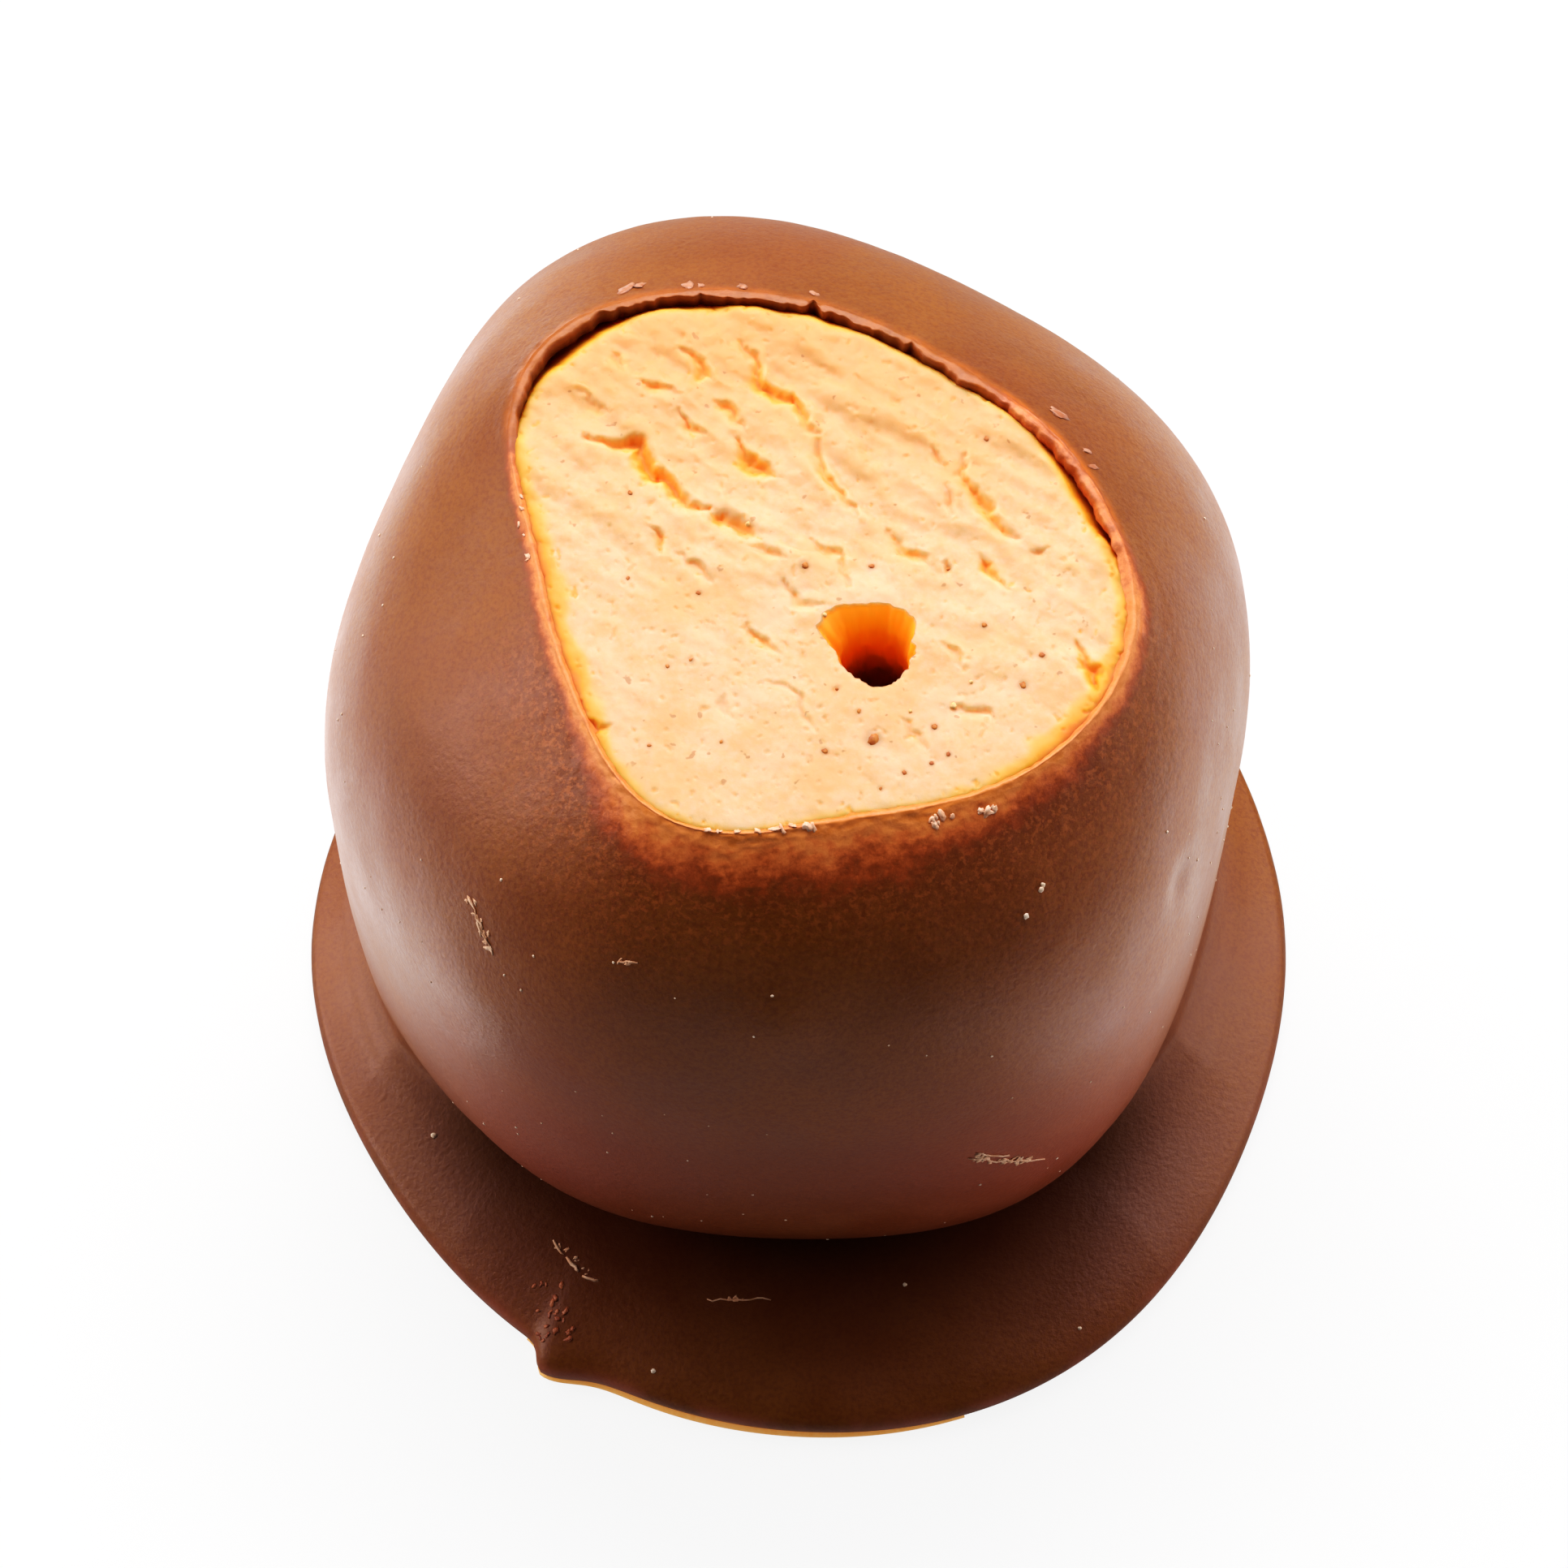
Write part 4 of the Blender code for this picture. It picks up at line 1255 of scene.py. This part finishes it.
def addSliver(store, route, width, lift, seed):
    # a thin curled flake standing a little off the coat along a route
    last = len(route) - 1
    points = []
    for i, place in enumerate(route):
        spot, normal, _, _ = coatTree.find_nearest(Vector(place))
        ahead = Vector(route[min(i + 1, last)]) - Vector(route[max(i - 1, 0)])
        side = normal.cross(ahead).normalized()
        swell = 0.35 + 0.65 * math.sin(math.pi * (i + 0.5) / (last + 1))
        wide = width * swell * (1 + 0.5 * noise.noise(Vector(place) * 3 + Vector((seed, 0, 0))))
        up = normal * (lift * (0.6 + 0.6 * noise.noise(Vector(place) * 2 + Vector((0, seed, 0)))))
        points += [spot - side * wide, spot - side * (wide * 0.2) + up]
        points += [spot + side * wide + up * 1.3, spot + side * (wide * 0.6) - normal * 0.02]
    end = 4 * last
    addTo(store, points, latheFaces(last + 1, 4) + [(3, 2, 1, 0), (end, end + 1, end + 2, end + 3)])


def makeScuffs():
    store = newStore()
    for a, b, count, spread, size, seed in scuffs["flecks"]:
        draw = random.Random(seed)
        for i in range(count):
            place = between(a, b, draw.random(), spread, draw)
            width = size * draw.uniform(0.35, 1)
            stretch, turn = draw.uniform(1, 2.8), draw.uniform(0, 3)
            addBlob(store, coatTree, place, width, i + seed, 0.3, stretch, turn, 0.4, 1.3)
    addSliver(store, scuffs["zigzag"], 0.05, 0.05, 1)
    for seed, (a, b, count, sway, width, lift) in enumerate(scuffs["slivers"], 2):
        draw = random.Random(seed)
        route = [between(a, b, i / (count - 1), sway, draw) for i in range(count)]
        addSliver(store, route, width, lift, seed)
    addSmall("scuffFlakes", store)


def makeFillingCrumbs():
    store = newStore()
    # place on the top, size
    crumbs = ((4.65, -5.35, 0.1), (-1.2, 0.9, 0.09), (0.8, -2.3, 0.08), (5.2, -4.6, 0.06), (3.4, -5.6, 0.06))
    for i, (x, y, size) in enumerate(crumbs):
        addBlob(store, fillingTree, (x, y, filling["topHeight"]), size, i + 3, 0.8, 1.1, i, 0.3, 0.5)
    addSmall("fillingCrumbs", store)


# a thin amber crescent on the table under the foot's front edge
crescentShape = {
    "angles": (238.0, 287.0),
    "count": 90,
    "reach": 0.13,
    # painted glow: emission in place of the pale table shining through the crescent
    "glow": {"Emission Color": (0.85, 0.4, 0.12, 1), "Emission Strength": 0.4},
}


def makeAmberCrescent():
    count = crescentShape["count"]
    angles = np.radians(np.linspace(*crescentShape["angles"], count))
    edge = footLine(angles)
    out = outward(angles)
    swell = np.sin(np.linspace(0, math.pi, count)) ** 1.1
    reach = (crescentShape["reach"] * swell * (0.9 + 0.1 * np.sin(angles * 9)) - 0.06)[:, None]
    rows = [lifted(edge - out * 0.6, 0.0), lifted(edge + out * reach, 0.0)]
    rows += [lifted(edge + out * (reach - 0.05), 0.05), lifted(edge - out * 0.55, 0.07)]
    faces = [(a, d, c, b) for a, b, c, d in latheFaces(count, 4)]
    faces += [(0, 1, 2, 3), tuple((count - 1) * 4 + k for k in (3, 2, 1, 0))]
    addSmall("amberCrescent", {"points": np.stack(rows, axis=1).reshape(-1, 3), "faces": faces}, crescentShape["glow"])


makeSpecks()
makeRimCrumbs()
makeLipBeads()
makeDustAndGlints()
makeScuffs()
makeFillingCrumbs()
makeAmberCrescent()


# table, light and camera
studio = {
    "beside": 0.38,  # room light from the left and right
    "floor": 0.28,
    "floorGlow": 0.2,
    "floorSeen": (0.1, 0.86),  # colour and glow of the floor as the camera sees it, an even white
    "floorHalf": 1.5,
    "aim": (0, 0, 0.012),
    # soft lights: name, place, size, power
    "lights": (
        ("overheadBehind", (0.0, 0.26, 0.3), 0.3, 1.52),
        ("leftBehind", (-0.2, 0.17, 0.28), 0.22, 0.36),
        ("rightBehind", (0.2, 0.17, 0.28), 0.22, 0.4),
        ("leftSide", (-0.33, 0.05, 0.17), 0.22, 0.52),
        ("rightSide", (0.33, 0.05, 0.17), 0.22, 0.3),
    ),
    # bright table to the left and right of the foot: name, place, glow
    "panels": (("leftTable", (-0.0405, 0.045), 1.85), ("rightTable", (0.0405, -0.005), 1.3)),
    "panelSize": (0.045, 0.12),
    "panelHeight": 0.001,
    "toneCurve": ((0.02, 0.009), (0.07, 0.042), (0.17, 0.145), (0.45, 0.48)),
}


def makeFloor():
    data = bpy.data.meshes.new("table")
    half = studio["floorHalf"]
    corners = [(-half, -half, 0), (half, -half, 0), (half, half, 0), (-half, half, 0)]
    data.from_pydata(corners, [], [(0, 1, 2, 3)])
    material, tree, shader = newMaterial("paleTable")
    seen = put(tree, "ShaderNodeLightPath").outputs["Is Camera Ray"]
    colour, glow = studio["floorSeen"]
    tone = mixColour(tree, seen, (studio["floor"],) * 3, (colour,) * 3)
    link(tree, tone, shader.inputs["Base Color"])
    setInputs(shader, {"Roughness": 0.8, "Emission Color": (1, 1, 1, 1)})
    link(tree, mapRange(tree, seen, 0, 1, studio["floorGlow"], glow), shader.inputs["Emission Strength"])
    data.materials.append(material)
    table = bpy.data.objects.new("table", data)
    scene.collection.objects.link(table)


def addLight(name, place, aim, size, power):
    lamp = bpy.data.lights.new(name, "AREA")
    lamp.shape = "DISK"
    lamp.size = size
    lamp.energy = power
    piece = bpy.data.objects.new(name, lamp)
    piece.location = place
    piece.rotation_euler = (Vector(aim) - Vector(place)).to_track_quat("-Z", "Y").to_euler()
    scene.collection.objects.link(piece)
    return piece


def addPanel(name, place, strength):
    wide, deep = studio["panelSize"]
    x, y = place
    power = strength * math.pi * wide * deep
    piece = addLight(name, (x, y, studio["panelHeight"]), (x, y + 0.0001, 1), wide, power)
    piece.data.shape = "RECTANGLE"
    piece.data.size_y = deep
    piece.visible_camera = False


def makeLight():
    world = bpy.data.worlds.new("softRoom")
    scene.world = world
    world.use_nodes = True
    tree = world.node_tree
    axes = put(tree, "ShaderNodeSeparateXYZ")
    link(tree, put(tree, "ShaderNodeTexCoord").outputs["Generated"], axes.inputs[0])
    beside = mathNode(tree, "MULTIPLY", axes.outputs[0], axes.outputs[0])
    background = tree.nodes["Background"]
    background.inputs[0].default_value = (1, 1, 1, 1)
    link(tree, mathNode(tree, "MULTIPLY", beside, studio["beside"]), background.inputs[1])
    for name, place, size, power in studio["lights"]:
        addLight(name, place, studio["aim"], size, power)
    for name, place, strength in studio["panels"]:
        addPanel(name, place, strength)


# the camera that fits the photo's outlines
view = {
    "elevation": 62,  # degrees above level
    "distance": 170.0,
    "aim": (-0.284, 0, 12.0),
    "down": 1.083,  # how far below the aim the middle of the picture lies
    "focalPixels": 6593.9,
    "imagePixels": 1932,
    "sensor": 36,
}


def makeCamera():
    elevation = math.radians(view["elevation"])
    up = Vector((0, math.sin(elevation), math.cos(elevation)))
    back = Vector((0, -math.cos(elevation), math.sin(elevation)))
    place = Vector(view["aim"]) - up * view["down"] + back * view["distance"]
    lens = bpy.data.cameras.new("camera")
    lens.sensor_width = view["sensor"]
    lens.lens = view["focalPixels"] / view["imagePixels"] * view["sensor"]
    lens.clip_start = 0.01
    camera = bpy.data.objects.new("camera", lens)
    camera.location = (place - shift) * 0.001
    camera.rotation_euler = (math.radians(90) - elevation, 0, 0)
    scene.collection.objects.link(camera)
    scene.camera = camera


makeFloor()
makeLight()
makeCamera()
scene.view_settings.view_transform = "Standard"
scene.view_settings.look = "None"
scene.view_settings.use_curve_mapping = True
toneCurve = scene.view_settings.curve_mapping
for place in studio["toneCurve"]:
    toneCurve.curves[3].points.new(*place)
toneCurve.update()
